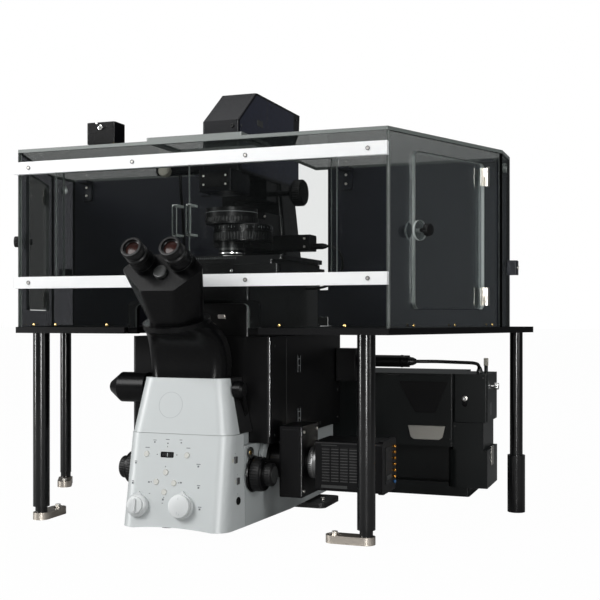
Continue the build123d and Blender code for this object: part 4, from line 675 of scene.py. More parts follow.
def row_of_boxes(name, spots, sizes, origin, across, up, finish, body="stand"):
    """Many small blocks on a plane as one object: block k is centred on spot k = (u, v, height) and
    measures sizes[k] = (width, length, thickness); corner = spot + corner sign times half its size."""
    spots = np.array(spots, float)
    sizes = np.broadcast_to(np.array(sizes, float), spots.shape)
    local = spots[:, None, :] + BOX_CORNERS[None] * sizes[:, None, :]
    points = local @ plane_axes(across, up) / 1000 + np.array(place(*origin))
    faces = (BOX_FACES[None] + 8 * np.arange(len(spots))[:, None, None]).reshape(-1, 4)
    return to_mesh(name, points, faces.tolist(), finish, body, smooth=False)


def strips(name, spots, sizes, origin, facing, finish):
    """A row of boxes on an upright face that looks right, left or forwards."""
    row_of_boxes(name, spots, sizes, origin, ACROSS_OF[facing], UP, finish)


def joined(name, pieces):
    """Joins several pieces of one material into one object."""
    for piece in pieces:
        with bpy.context.temp_override(object=piece, active_object=piece, selected_objects=[piece]):
            for modifier in list(piece.modifiers):
                bpy.ops.object.modifier_apply(modifier=modifier.name)
    first = pieces[0]
    with bpy.context.temp_override(active_object=first, selected_editable_objects=pieces, object=first):
        bpy.ops.object.join()
    first.name = name


print("rows of boxes ready")

# %% [markdown]
# ## Eyepieces
# An eyepiece is a stack of turned parts: a dioptre ring with a straight knurl, a soft cup with two
# folds, and a lens whose red coating reflection is painted into its colour. The solid model has the
# plain outline, so the knurl, the cup and the lens are laid over it and turn with it.


# %% Eyepieces and the hinge cap
TILT = np.radians(28.0)
ACROSS = np.array((1.0, 0.0, 0.0))
EYE_OUT = np.array((0.0, -np.cos(TILT), np.sin(TILT)))
EYE_RISE = np.array((0.0, np.sin(TILT), np.cos(TILT)))
HEAD_FACE = np.array((SCOPE_X, -95.0, 442.0))


def coated_lens():
    """Dark glass with a coating whose red-brown reflection is painted into its colour: a heart, brightest
    where the surface faces the viewer, that fades to black at the rim.
    """
    made = Finish("coated_lens")
    facing_amount = 1.0 - made.read("ShaderNodeLayerWeight", "Facing", None, {"Blend": 0.35})
    cloud = made.noise(70.0, 1.0)
    # painted reflection: the coating's red-brown glint is painted into the base colour, strongest where the
    # lens faces the viewer
    painted_coating_reflection = ((facing_amount ** 3.0) * (cloud * 0.9 + 0.35)).clamped()
    shade = made.shades(painted_coating_reflection, (0.004, 0.003, 0.003, 1.0), (0.055, 0.018, 0.014, 1.0))
    made.set(Base_Color=shade, Roughness=0.16, Specular_IOR_Level=0.16)


coated_lens()
for side, word, _ in SIDES:
    foot = HEAD_FACE + np.array((side * 34.5, 0, 0)) + 18.0 * EYE_RISE
    own = "eyepiece_" + word
    ring(
        "dioptre_ring_" + word,
        [(17.0, 24.7), (18.6, 24.7), (19.4, 25.4), (19.4, 31.9), (18.8, 32.9), (17.0, 32.9)], foot, EYE_OUT,
        "black_rubber", own, ribs=44, deep=0.9, ribbed=(25.2, 32.2),
    )
    ring(
        "eyecup_" + word,
        [(14.4, 48.6), (14.8, 40.2), (17.8, 40.2), (18.5, 41.4), (18.6, 43.6), (17.9, 44.6), (18.6, 45.6),
         (18.7, 47.4), (18.0, 48.4), (18.7, 49.4), (18.6, 52.8), (17.6, 54.4), (16.2, 54.6), (15.1, 53.4)],
        foot, EYE_OUT, "black_rubber", own,
    )
    ring(
        "lens_seat_" + word, [(12.2, 48.2), (14.7, 48.2), (14.7, 50.4), (13.4, 49.6), (12.3, 49.0)], foot,
        EYE_OUT, "anodised", own,
    )
    angle = np.linspace(0, np.pi / 2, 9)
    dome = [(12.6 * np.cos(a) + 0.02, 47.6 + 2.4 * np.sin(a)) for a in angle]
    turned("lens_" + word, [(12.6, 46.9), *dome], foot, EYE_OUT, "coated_lens", own)
    ring("tube_line_" + word, band(20.6, 21.15, 9.6, 10.2), foot, EYE_OUT, "cap_grey", "eye_tube_" + word)
    for k, turn in ((0, -0.55), (3, 0.0), (6, 0.55)):
        out = np.sin(turn) * ACROSS + np.cos(turn) * EYE_RISE
        along = np.cos(turn) * ACROSS - np.sin(turn) * EYE_RISE
        row_of_boxes(
            "index_%s_%d" % (word, k), [(0, 0, 0)], [(0.7, 3.0, 0.12)], foot + 17.0 * out + 37.0 * EYE_OUT,
            along, EYE_OUT * -1.0, "pale_print", own,
        )
softened(turned(
    "hinge_cap",
    [(11.3, 0.4), (11.6, 1.2), (11.6, 5.4), (10.9, 6.7), (9.4, 7.1), (9.2, 6.7), (8.8, 6.7), (8.6, 7.2),
     (0.05, 7.5)], HEAD_FACE, EYE_OUT, "cap_grey",
))
print("eyepieces dressed")

# %% [markdown]
# ## Console controls
# The sloping front carries keys, a small display and two dials. Their places are measured in the
# plane of the front: u sideways from the middle and s up the face. Short grey bars stand beside
# the keys, and small arrows show the pad's directions.


# %% Console plane
SLOPE = np.arctan2(28.0, 157.0)
FACE_UP = np.array((0.0, np.sin(SLOPE), np.cos(SLOPE)))
FACE_OUT = np.array((0.0, -np.cos(SLOPE), np.sin(SLOPE)))
SCREEN_AT, LEFT_DIAL, RIGHT_DIAL = (-18.8, 124.3), (-65.3, 37.3), (16.3, 40.0)


def on_face(u, s, out=0.0):
    """A place on the lower console's front, millimetres."""
    return np.array((SCOPE_X, -60.0, 15.0)) + u * ACROSS + s * FACE_UP + out * FACE_OUT


captions = [
    (-44, 148, 6, 1.1), (-20, 150, 7, 1.1), (5, 150, 5, 1.1), (-44, 144.6, 3, 2.2), (-19, 143.5, 2.6, 2.2),
    (6, 145.4, 2.6, 2.2), (-57, 135, 8, 1.2), (20, 137, 7, 1.2), (-77, 111, 4.6, 1.2), (-77, 108, 3, 2.4),
    (-80, 77.5, 3, 1.2), (-80, 74, 2.4, 3.2), (41, 111, 7.5, 1.2), (41, 107.4, 3.2, 3.0), (44, 76, 6, 1.2),
    (44, 72.4, 3.2, 3.0), (49, 41, 6.5, 1.2), (49, 37.4, 3.4, 3.0), (-52.5, 46, 3, 1.0),
    (-49, 77, 3.6, 2.4), (11, 79, 3.6, 2.4), (-20, 49.4, 3, 3.2), (-20.5, 43.4, 2.6, 1.2), (-46, 58, 3, 1.0)
]


def printed(name, marks, out, thick, finish, body="stand"):
    """Flat marks on the console's front, (u, s, width, length) each, as one object."""
    row_of_boxes(
        name, [(u, s, out) for u, s, _, _ in marks], [(w, h, thick) for _, _, w, h in marks], on_face(0, 0),
        ACROSS, FACE_UP, finish, body,
    )


printed("captions", captions, 0.02, 0.09, "print_grey")


def arrow(name, u, s, heading, size=1.6):
    """A small printed triangle that points along a heading, degrees from sideways."""
    turn = np.radians(heading) + np.array((0, 2.3, -2.3))
    outline = np.stack([u + size * np.cos(turn), s + size * np.sin(turn)], -1)
    return slab(name, outline, on_face(0, 0, 0.02), ACROSS, FACE_UP, 0.09, "print_grey")


arrows = [
    (-37.5, 124, 180), (-0.4, 124.6, 0), (-19, 138, 90), (-20, 104.5, 90), (-45, 77.5, 180), (7, 78.5, 0),
    (-18.6, 52.8, 270)
]
joined("pad_arrows", [arrow("arrow%d" % k, *spot) for k, spot in enumerate(arrows)])
print("captions:", len(captions), "arrows:", len(arrows))

# %% Display
slab("screen", rounded_box(24.6, 9.6, 1.8), on_face(*SCREEN_AT, -1.42), ACROSS, FACE_UP, 0.5, "screen")
strokes = [(0, s, 2.2, 0.5) for s in (2.4, 0, -2.4)]
strokes += [(u, s, 0.5, 2.0) for s in (1.2, -1.2) for u in (-1.25, 1.25)]
screen_u, screen_s = SCREEN_AT
digits = [
    (screen_u + shift + u, screen_s + s, w, h) for shift in (-8.0, -3.6, 3.6, 8.0) for u, s, w, h in strokes
]
printed("digits", digits, -0.94, 0.06, "cap_grey")
printed("screen_bar", [(*SCREEN_AT, 1.2, 6.4)], -0.94, 0.06, "badge_line")
print("display segments:", len(digits))

# %% Dials
ring(
    "left_dial_skirt", [(14.0, 6.4), (18.9, 6.4), (19.2, 7.0), (18.2, 8.6), (15.6, 10.8), (14.0, 11.2)],
    on_face(*LEFT_DIAL), FACE_OUT, "dial_grey", "dial_left",
)
softened(turned(
    "left_dial_cap", [(14.6, 7.2), (14.6, 13.2), (13.8, 14.4), (12.4, 14.8), (0.05, 14.9)],
    on_face(*LEFT_DIAL), FACE_OUT, "dial_grey", "dial_left", ribs=28, deep=0.5, ribbed=(7.0, 13.5),
))
slab(
    "left_dial_grip", rounded_box(5.4, 23.0, 2.5), on_face(*LEFT_DIAL, 14.6), ACROSS, FACE_UP, 3.4,
    "dial_grey", "dial_left", bevel=0.9,
)
softened(turned(
    "right_dial_disc", [(18.8, 7.2), (19.4, 7.9), (19.4, 12.6), (18.5, 14.2), (17.0, 14.8), (0.05, 14.9)],
    on_face(*RIGHT_DIAL), FACE_OUT, "dial_grey", "dial_right",
))
dial_u, dial_s = RIGHT_DIAL
dial_marks = [
    (dial_u - 2.0, dial_s - 11.0, 0.8, 4.2), (dial_u + 2.2, dial_s - 13.0, 0.8, 2.6),
    (dial_u - 1.2, dial_s + 12.5, 0.8, 3.4)
]
printed("right_dial_marks", dial_marks, 14.9, 0.1, "badge_line", "dial_right")
for name, (u, s), r, count in (("left_dial", LEFT_DIAL, 22.0, 9), ("right_dial", RIGHT_DIAL, 24.2, 11)):
    turns = np.linspace(0.15 * np.pi, 0.85 * np.pi, count)
    ticks = [(u + r * np.cos(a), s + r * np.sin(a), 0.5, 0.9) for a in turns]
    printed(name + "_scale", ticks, 0.02, 0.08, "badge_line")
key_spots = [(-57.6, 124.3), (18.5, 124.9), (-18.7, 94.9), (-35.3, 78.1), (-2.1, 77.6), (-18.9, 61.7)]
for letter, (u, s) in zip("abcdef", key_spots):
    rim = [(5.2, 0.02), (6.3, 0.02), (6.2, 0.3), (5.3, 0.35)]
    ring("key_rim_" + letter, rim, on_face(u, s), FACE_OUT, "dial_grey")
print("display and dials dressed")

# %% [markdown]
# ## The covers' other details
# A thin engraved circle stands on the upper cover. On the right side sit a round jack, small plates
# beside the two keys and an eyelet.

# %% Badge ring, jack and eyelet
rise = np.arctan2(17.0, 94.0)
cover_up = np.array((0.0, np.sin(rise), np.cos(rise)))
cover_out = np.array((0.0, -np.cos(rise), np.sin(rise)))
badge = np.array((SCOPE_X, -32.0, 172.0)) - 19.7 * ACROSS + 49.0 * cover_up
ring("badge_circle", band(21.6, 22.5, 0.0, 0.12), badge, cover_out, "badge_line", around=96)


def side_x(y, z):
    """X of the lower console's right side."""
    share = (z - 15.0) / 157.0
    half, front = 97.0 - 3.0 * share, -60.0 + 28.0 * share
    return SCOPE_X + half + 7.0 * (y - front) / (10.0 - front)


jack = (side_x(-12, 62), -12.0, 62.0)
ring(
    "jack_rim", [(4.2, -0.5), (6.6, -0.5), (6.6, 1.0), (5.8, 1.6), (4.4, 1.6)], jack, (1, -0.1, 0),
    "black_satin",
)
turned("jack_hole", [(4.4, 0.1), (4.4, 0.4), (0.05, 0.4)], jack, (1, -0.1, 0), "black_rubber")
for name, y, z in (("upper", -24.5, 131.0), ("lower", -19.0, 95.0)):
    strips(
        "key_caption_" + name, [(0, 0, 0.0)], [(4.0, 6.0, 0.25)], (side_x(y, z) - 0.05, y, z), RIGHT,
        "cream",
    )
    strips(
        "key_line_" + name, [(0, 0, 0.0)], [(5.0, 1.0, 0.1)], (side_x(y + 8, z + 11) - 0.02, y + 8, z + 11),
        RIGHT, "print_grey",
    )
strips("jack_line", [(0, 0, 0)], [(5.0, 1.0, 0.1)], (side_x(-12, 74) - 0.02, -12, 74), RIGHT, "print_grey")
EYELET_AT = (99.2, 24.6, 138.8)
eye_turn = np.linspace(0, 2 * np.pi, 12, endpoint=False)
ring(
    "eyelet", [(8.4 + 1.7 * np.cos(a), 3.0 + 1.7 * np.sin(a)) for a in eye_turn], EYELET_AT, (1, -0.08, 0),
    "cap_grey",
)
softened(turned(
    "eyelet_stud", [(4.8, 0.0), (4.8, 2.4), (3.9, 3.2), (0.05, 3.4)], EYELET_AT, (1, -0.08, 0), "brass",
))
print("badge ring, jack and eyelet made")

# %% [markdown]
# ## Focus knobs, relay tube and camera
# Rubber focus knobs are ribbed along their turned rim. The camera hangs on a dark steel mount ring
# with a knurl, breathes through rows of slats, and carries its sockets on its far end.

# %% Focus knobs
for side, word, facing in SIDES:
    coarse_at, fine_at = (SCOPE_X + side * 110.65, 38.0, 101.0), (SCOPE_X + side * 130.95, 38.0, 101.0)
    ring(
        "coarse_grip_" + word,
        [(24.0, 0.6), (28.6, 0.6), (29.5, 1.8), (29.5, 13.4), (28.9, 14.6), (24.0, 14.8)], coarse_at,
        facing, "black_rubber", "coarse_knobs", ribs=40, deep=1.1, ribbed=(1.0, 14.0),
    )
    ring(
        "coarse_lip_" + word,
        [(21.0, 19.6), (26.4, 19.6), (27.6, 18.4), (28.0, 16.2), (28.6, 16.2), (28.2, 18.8), (26.8, 20.25),
         (21.0, 20.25)], coarse_at, facing, "black_satin", "coarse_knobs",
    )
    ring(
        "fine_grip_" + word,
        [(15.0, 1.4), (19.4, 1.4), (19.9, 2.2), (19.9, 12.4), (19.0, 13.6), (15.0, 13.8)], fine_at, facing,
        "black_rubber", "fine_knobs", ribs=32, deep=0.8, ribbed=(1.8, 13.0),
    )
    softened(turned(
        "fine_cap_" + word, [(14.6, 14.4), (14.6, 15.5), (13.8, 16.1), (11.0, 15.7), (0.05, 15.7)], fine_at,
        facing, "cap_grey", "fine_knobs",
    ))
    ring(
        "focus_collar_" + word,
        [(17.2, -4.4), (31.0, -4.4), (31.8, -3.4), (31.0, -1.2), (26.0, -0.35), (17.2, -0.35)], coarse_at,
        facing, "black_satin",
    )
print("focus knobs dressed")

# %% Relay box, port ring and camera
PORT, RELAY_END_X = (103.0, 117.0), 182.0
ring(
    "port_ring", [(34.4, -4.0), (49.0, -4.0), (49.4, 2.6), (48.2, 4.0), (38.0, 4.6), (34.4, 4.6)],
    (107.6, *PORT), RIGHT, "grey_casting", around=80,
)
ring(
    "port_bezel", [(30.3, 6.2), (33.6, 6.2), (33.6, 9.6), (31.4, 11.0), (30.3, 11.0)], (107.6, *PORT),
    RIGHT, "black_satin",
)
relay_corners = [(RELAY_END_X, y, z) for z in (70, 172) for y in (70, 136)]
screws("relay_screw", relay_corners, RIGHT, 2.8, 1.8, "zinc")
plate("relay_lid", rounded_box(33, 112, 3), (161.0, 60.0, 121.0), FRONT, 0.8, "black_coat", bevel=0.5)
ring(
    "mount_ring",
    [(25.6, 4.2), (27.4, 4.2), (28.2, 5.0), (28.2, 10.4), (27.6, 11.2), (27.2, 12.0), (27.2, 13.8),
     (28.0, 14.6), (28.0, 20.0), (27.2, 20.8), (25.6, 20.8)], (RELAY_END_X, *PORT), RIGHT, "dark_steel",
    ribs=48, deep=0.7, ribbed=(4.8, 10.8),
)
rows, columns = np.meshgrid(np.arange(12), np.arange(4), indexing="ij")
spots = np.stack([225.0 + 16.2 * columns.ravel(), 92.0 + 4.9 * rows.ravel(), np.zeros(48)], -1)
# painted highlight and shade: the slats are lighter than the camera's black to stand for the highlights on
# their edges, and the black strips between them stand for the shade in the slots
strips("louvres", spots, [(13.2, 1.2, 0.7)], (0, CAMERA_SIDE_Y, 0), FRONT, "louvre_highlight")
strips(
    "louvre_slot_shade", spots + (0, 2.4, 0), [(13.2, 2.2, 0.12)], (0, CAMERA_SIDE_Y, 0), FRONT, "black_rubber",
)
strips("camera_line", [(231, 152.6, 0)], [(28.0, 1.4, 0.15)], (0, CAMERA_SIDE_Y, 0), FRONT, "cap_grey")
ring("camera_face_line", band(42.7, 43.2, 2.2, 3.0), (204.0, *PORT), RIGHT, "black_satin", around=4)
for k, z in enumerate((95.0, 105.5, 116.0, 126.5, 137.0, 147.0)):
    turned(
        "socket%d" % k, [(2.6, -0.2), (2.6, 3.0), (2.0, 3.6), (0.05, 3.6)], (CAMERA_END_X, 133.0, z), RIGHT,
        "orange", around=20,
    )
turned(
    "socket_blue", [(2.8, -0.2), (2.8, 3.2), (0.05, 3.4)], (CAMERA_END_X, 134.0, 86.0), RIGHT, "blue",
    around=20,
)
plate(
    "camera_window", rounded_box(40, 62, 4), (CAMERA_END_X, 97.0, 119.0), RIGHT, 0.7, "black_satin",
    bevel=0.3,
)
plate("camera_lower_port", rounded_box(26, 8, 2), (325.7, 97.0, 99.0), RIGHT, 1.2, "cap_grey", bevel=0.3)
plate("camera_badge", rounded_box(46, 5, 1), (240.0, CAMERA_SIDE_Y, 82.6), FRONT, 0.2, "cap_grey")
print("camera dressed, slats:", len(spots))

# %% Latch plates and screws on the body
for name, z in (("upper", 283.8), ("lower", 186.7)):
    plate(
        "latch_plate_" + name, rounded_box(21, 35, 1.5), (BODY_SIDE_X, 191.7, z), RIGHT, 1.2, "black_satin",
        bevel=0.3,
    )
    strips(
        "latch_edges_" + name, [(-7.4, 0, 1.2), (-1.2, 9, 1.2), (-1.2, -3, 1.2), (5.8, 0, 1.2)],
        [(0.9, 30, 0.5), (9.6, 1.0, 0.5), (9.6, 1.0, 0.5), (0.9, 30, 0.5)], (BODY_SIDE_X, 191.7, z), RIGHT,
        "badge_line",
    )
body_spots = [(423.9, 222.3), (312.8, 163.4), (70, 320), (70, 165), (424, 165)]
screws("body_screw", [(BODY_SIDE_X, y, z) for y, z in body_spots], RIGHT, 2.4, 1.2, "cap_grey")
strips("body_seam", [(0, 0, 0)], [(0.9, 178, 0.35)], (BODY_SIDE_X, 128.0, 243.0), RIGHT, "cap_grey")
hex_screw("outrigger_screw", (BODY_SIDE_X, 330.0, 10.0), UP, 4.5, 4.0, "zinc")
print("body dressed")

# %% [markdown]
# ## The enclosure's hardware
# Cap screws hold the rails, small screws hold the sheets to the base plates, and each side door
# has a knob with a clear disc that turns over the sheet beside it.

# %% Rail and sheet screws
rail_spots = [(x, -11.0, z) for z in (432.5, 641.0) for x in (-320.0, -107.0, 107.0, 320.0)]
screws("rail_screw", rail_spots, FRONT, 3.6, 1.9, "dark_steel")


def small_screw(name, at, out):
    """A pan-head screw: a low turned dome."""
    return turned(name, [(2.6, -0.1), (2.6, 0.7), (1.9, 1.4), (0.05, 1.6)], at, out, "brass", around=20)


SCREW_Z = 356.2
sheet_screws = [
    small_screw("sheet_screw%d" % k, (x, 0.0, SCREW_Z), FRONT)
    for k, x in enumerate((-316.0, -270.0, -164.0, 164.0, 278.0))
]
for side in (-1, 1):
    for y in (63.0, 170.0, 278.0):
        at = (side * (FRONT_HALF + FLARE_WIDE * y / FLARE_DEEP), y, SCREW_Z)
        sheet_screws.append(small_screw("flare_screw", at, FLARE_OUT * (side, 1, 1)))
joined("sheet_screws", sheet_screws)

# %% Side-door latches and hinge screws
for side, word, _ in SIDES:
    own, flip = "side_latch_" + word, np.array((side, 1.0, 1.0))
    at = (np.array((FRONT_HALF, 0.0, 514.0)) + FLARE_ALONG * 82.0) * flip
    out = FLARE_OUT * flip
    ring(
        "latch_disc_" + word, band(3.4, 17.0, 0.3, 4.3), at, out, "acrylic_latch", own,
    )
    knob = turned(
        "latch_knob_" + word,
        [(6.0, -8.3), (6.0, -6.3), (3.0, -6.25), (3.0, 13.8), (8.4, 14.0), (9.0, 14.8), (10.4, 15.2),
         (10.5, 22.6), (9.4, 23.8), (8.0, 24.0), (0.05, 24.0)], at, out, "black_rubber", own, ribs=20,
        deep=0.9, ribbed=(15.0, 22.8),
    )
    softened(knob)
    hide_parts(own)
    for k, z0 in enumerate((391.0, 605.0)):
        for shift in (-9.0, 9.0):
            for dz in (8.0, 24.0):
                screw_at = (np.array((FRONT_HALF, 0.0, z0 + dz)) + FLARE_ALONG * (277.25 + shift)) * flip
                turned(
                    "hinge_screw_%s%d%d%d" % (word, k, shift, dz),
                    [(1.9, 1.9), (1.9, 2.3), (1.2, 2.7), (0.05, 2.8)], screw_at, out, "zinc",
                    "stand" if shift > 0 else "side_door_" + word, around=16,
                )
print("latches and hinges dressed")

# %% Brackets, clamps and the indicator box
for side in (-1, 1):
    for x in (158.0, 445.0):
        for dz in (14.0, 32.0):
            hex_screw("bracket_screw", (side * x, 387.0, 671.0 - dz), FRONT, 2.6, 1.6, "zinc")
    hex_screw("panel_clamp_screw", (side * 502.0, 377.0, 463.5), (side, 0, 0), 3.2, 1.8, "zinc")
TOGGLE_AT = (-181.3, 8.0, 708.7)
ring(
    "toggle_nut", [(2.6, 0.0), (5.0, 0.0), (5.0, 2.2), (4.2, 2.6), (2.6, 2.6)], TOGGLE_AT, FRONT, "bright",
    around=6,
)
softened(turned(
    "toggle",
    [(2.4, -0.4), (2.4, 3.6), (1.4, 4.2), (1.7, 10.0), (2.4, 13.6), (2.3, 15.2), (1.2, 16.4), (0.05, 16.7)],
    TOGGLE_AT, (0, -0.94, 0.34), "bright", around=24,
))
for x in (-199.5, -163.5):
    ring(
        "indicator_foot%d" % x, [(3.4, 0.05), (4.6, 0.05), (4.6, 2.0), (3.9, 2.8), (3.4, 2.8)],
        (x, 27.0, 677.0), UP, "brass", around=32,
    )
slab(
    "indicator_lid", rounded_box(55.6, 36.6, 3.2), (-181.5, 27.0, 717.9), RIGHT, BACK, 0.5, "black_satin",
    bevel=0.2,
)
print("indicator box dressed")

# %% [markdown]
# ## Condenser, nosepiece and stage
# These stand behind the doors, where only their bright edges show: a knurled turret with a ring of
# white ticks, a bright lens rim, bands on the objectives and a scale on the stage.

# %% Condenser
TURRET_X, TURRET_Y = 14.0, 198.0
ring(
    "turret_knurl", band(53.0, 56.6, 1.2, 16.0, 0.8, 0.8), (TURRET_X, TURRET_Y, 512.0), UP, "black_rubber",
    "condenser_turret", ribs=60, deep=1.0, ribbed=(1.6, 15.6),
)
ticks = []
for k in range(60):
    if k % 5 == 0 or k % 2 == 0:
        turn, tall = 2 * np.pi * k / 60, 5.0 if k % 5 == 0 else 2.6
        out = np.array((np.cos(turn), np.sin(turn), 0.0))
        spot, along = np.array((TURRET_X, TURRET_Y, 537.0)) + 56.0 * out, (-np.sin(turn), np.cos(turn), 0.0)
        tick = [(0.6, tall, 0.12)]
        ticks.append(row_of_boxes(
            "tick", [(0, 0, 0)], tick, spot, along, UP, "pale_print", "condenser_turret",
        ))
joined("turret_ticks", ticks)
ring(
    "condenser_rim",
    [(20.0, 488.2), (24.4, 488.2), (25.2, 489.0), (25.2, 491.4), (24.6, 492.0), (20.0, 492.0)],
    (SCOPE_X, OPTIC_Y, 0.0), UP, "bright", "condenser_carrier",
)
ring(
    "condenser_band", band(24.0, 25.0, 496.0, 500.0), (SCOPE_X, OPTIC_Y, 0.0), UP, "cap_grey",
    "condenser_carrier",
)
ring(
    "field_ring", band(46.0, 50.4, 548.0, 556.8, 0.6, 0.8), (SCOPE_X, OPTIC_Y, 0.0), UP, "black_rubber",
    "condenser_carrier", ribs=50, deep=0.8, ribbed=(548.4, 556.4),
)
ring(
    "field_line", band(48.0, 49.25, 566.0, 566.7), (SCOPE_X, OPTIC_Y, 0.0), UP, "pale_print",
    "condenser_carrier",
)
carrier_spots = [(32.0, 262.3, 548), (32.0, 262.3, 566), (100, 300.0, 508), (100, 300.0, 524)]
screws("carrier_screw", carrier_spots, FRONT, 2.4, 1.4, "zinc", "condenser_carrier")
ring(
    "condenser_knob_grip", band(20.0, 26.0, 8.4, 25.0, 0.8, 1.0), (72.0, 303.0, 614.0), RIGHT,
    "black_rubber", "condenser_knob", ribs=36, deep=1.0, ribbed=(9.0, 24.4),
)
ring(
    "field_knob_grip", band(8.0, 11.3, 1.6, 12.2, 0.5, 0.8), (-137.0, 175.7, 650.0), FRONT, "cream",
    "field_knob", ribs=24, deep=0.7, ribbed=(2.0, 11.8),
)
print("condenser dressed")

# %% Objectives and stage
for k in range(6):
    a = -np.pi / 2 + np.pi * k / 3
    at = (SCOPE_X + 38.0 * np.cos(a), 228.0 + 38.0 * np.sin(a), 407.0)
    ring(
        "objective_knurl%d" % k, band(12.6, 14.2, 8.0, 14.0), at, UP, "bright", "nosepiece", around=32,
        ribs=24, deep=0.35,
    )
    colour = ("brass", "blue", "orange", "pale_print", "brass", "blue")[k]
    ring("objective_band%d" % k, band(12.8, 14.15, 18.0, 19.6), at, UP, colour, "nosepiece", around=32)
    turned(
        "objective_tip%d" % k, [(4.2, 45.4), (4.2, 46.2), (3.2, 46.5), (0.05, 46.5)], at, UP, "screen",
        "nosepiece", around=24,
    )
row_of_boxes(
    "stage_scale", [(x, 0, 0) for x in np.linspace(-60, 60, 31)],
    [(0.4, 3.0 if k % 5 else 4.6, 0.08) for k in range(31)], (SCOPE_X, 70.0, 474.5), RIGHT, UP,
    "pale_print", "stage_x_carriage",
)
hex_screw("stage_front_screw", (55.0, 50.0, 451.0), FRONT, 3.0, 1.4, "bright")
hex_screw("stage_front_screw_left", (-67.0, 50.0, 451.0), FRONT, 3.0, 1.4, "bright")
print("optics dressed")

# %% [markdown]
# ## Lamp housing and the rear unit
# Both are folded and cast housings with flush seams. A seam is a thin dark line let into the
# surface, and the rear unit has a bare metal plate.

# %% Lamp housing
for side, _, facing in SIDES:
    face_x = SCOPE_X + side * LAMP_HALF
    strips("lamp_seam%d" % side, [(0, 0, 0)], [(0.9, 74, 0.25)], (face_x, 278.0, 758.0), facing, "screen")
    strips(
        "lamp_seam_flat%d" % side, [(0, 0, 0)], [(150, 0.9, 0.25)], (face_x, 200.0, 664.0), facing, "screen",
    )
    lamp_spots = [(148, 722.4), (148, 652), (262, 712), (300, 786), (440, 786)]
    screws("lamp_screw%d_" % side, [(face_x, y, z) for y, z in lamp_spots], facing, 2.5, 1.2, "cap_grey")
plate("lamp_plate", rounded_box(30, 12, 1), (31.0, 239.0, 742.0), RIGHT, 0.5, "cap_grey", bevel=0.1)
hex_screw("lamp_front_bolt", (18.0, 137.0, 722.4), FRONT, 3.8, 2.6, "black_rubber")
plate(
    "lens_box_plate", rounded_box(52, 26, 2), (SCOPE_X, 112.0, 620.0), FRONT, 0.8, "black_satin", bevel=0.3,
)
lens_box_corners = [(x, 111.2, z) for z in (612, 628) for x in (-28, 16)]
screws("lens_box_screw", lens_box_corners, FRONT, 1.9, 1.0, "zinc")
print("lamp housing dressed")

# %% Rear unit
outline = [(238, 236), (273, 172), (316, 172), (342, 236)]
plate("unit_facet", outline, (0, UNIT_FRONT_Y, 0), FRONT, 1.3, "black_coat", bevel=1.0)
badge_outline = [(258, 145), (337, 145), (331, 121), (324, 116), (271, 116), (264, 121)]
plate("unit_badge", badge_outline, (0, UNIT_FRONT_Y, 0), FRONT, 2.2, "plate_metal", bevel=0.8)
strips(
    "unit_seams", [(354.4, 203, 0), (388, 154.6, 2.1), (206, 249.6, 0)],
    [(0.9, 96, 0.3), (66, 0.9, 0.3), (288, 0.9, 0.3)], (0, UNIT_FRONT_Y, 0), FRONT, "screen",
)
plate("unit_slot", rounded_box(11, 24, 5.4), (377.0, 502.0, 198.0), FRONT, 0.5, "screen")
ring(
    "unit_slot_rim", [(0.05, 0.0), (5.6, 0.0), (5.6, 1.4), (4.6, 2.0), (0.05, 2.0)], (377.0, 501.6, 203.0),
    FRONT, "zinc", around=24,
)
hex_screw("unit_slot_screw", (377.0, 499.9, 203.0), FRONT, 3.6, 2.4, "bright")
softened(turned(
    "unit_side_knob",
    [(3.0, -0.3), (3.0, 4.0), (6.4, 4.4), (7.0, 5.0), (7.0, 13.0), (6.2, 13.8), (0.05, 14.0)],
    (UNIT_SIDE_X, 560.0, 226.0), RIGHT, "bright", ribs=24, deep=0.5, ribbed=(4.8, 13.2),
))
plate(
    "unit_side_plate", rounded_box(26, 40, 2), (UNIT_SIDE_X, 560.0, 82.0), RIGHT, 1.2, "plate_metal",
    bevel=0.3,
)
plate("unit_side_label", rounded_box(20, 26, 1), (UNIT_SIDE_X, 545.0, 180.0), RIGHT, 0.25, "cap_grey")
block("stub_cap", (402.6, 411.4), (575.6, 584.4), (267.5, 283.4), "cream", 0.6)
unit_spots = [(350.0, 180.0), (350.0, 110.0), (356.5, 146.0), (347, 118), (415, 246), (68, 246), (68, 110)]
screws("unit_screw", [(x, UNIT_FRONT_Y, z) for x, z in unit_spots], FRONT, 1.9, 1.0, "cap_grey")
ring(
    "fibre_collar", [(3.4, 253.0), (7.0, 253.0), (7.0, 256.0), (5.0, 262.0), (3.4, 266.0)],
    (397.0, 560.0, 0.0), UP, "cap_grey", around=32,
)
for x in (190.0, 262.0):
    ring("coupler_ring%d" % x, band(10.0, 12.6, 0.0, 4.0), (x, 427.0, 281.0), RIGHT, "black_satin")
ring(
    "coupler_nose", [(3.6, 0.0), (9.0, 0.0), (8.0, 8.0), (5.0, 14.0), (3.6, 14.0)], (279.0, 427.0, 281.0),
    RIGHT, "black_rubber",
)
print("rear unit dressed")
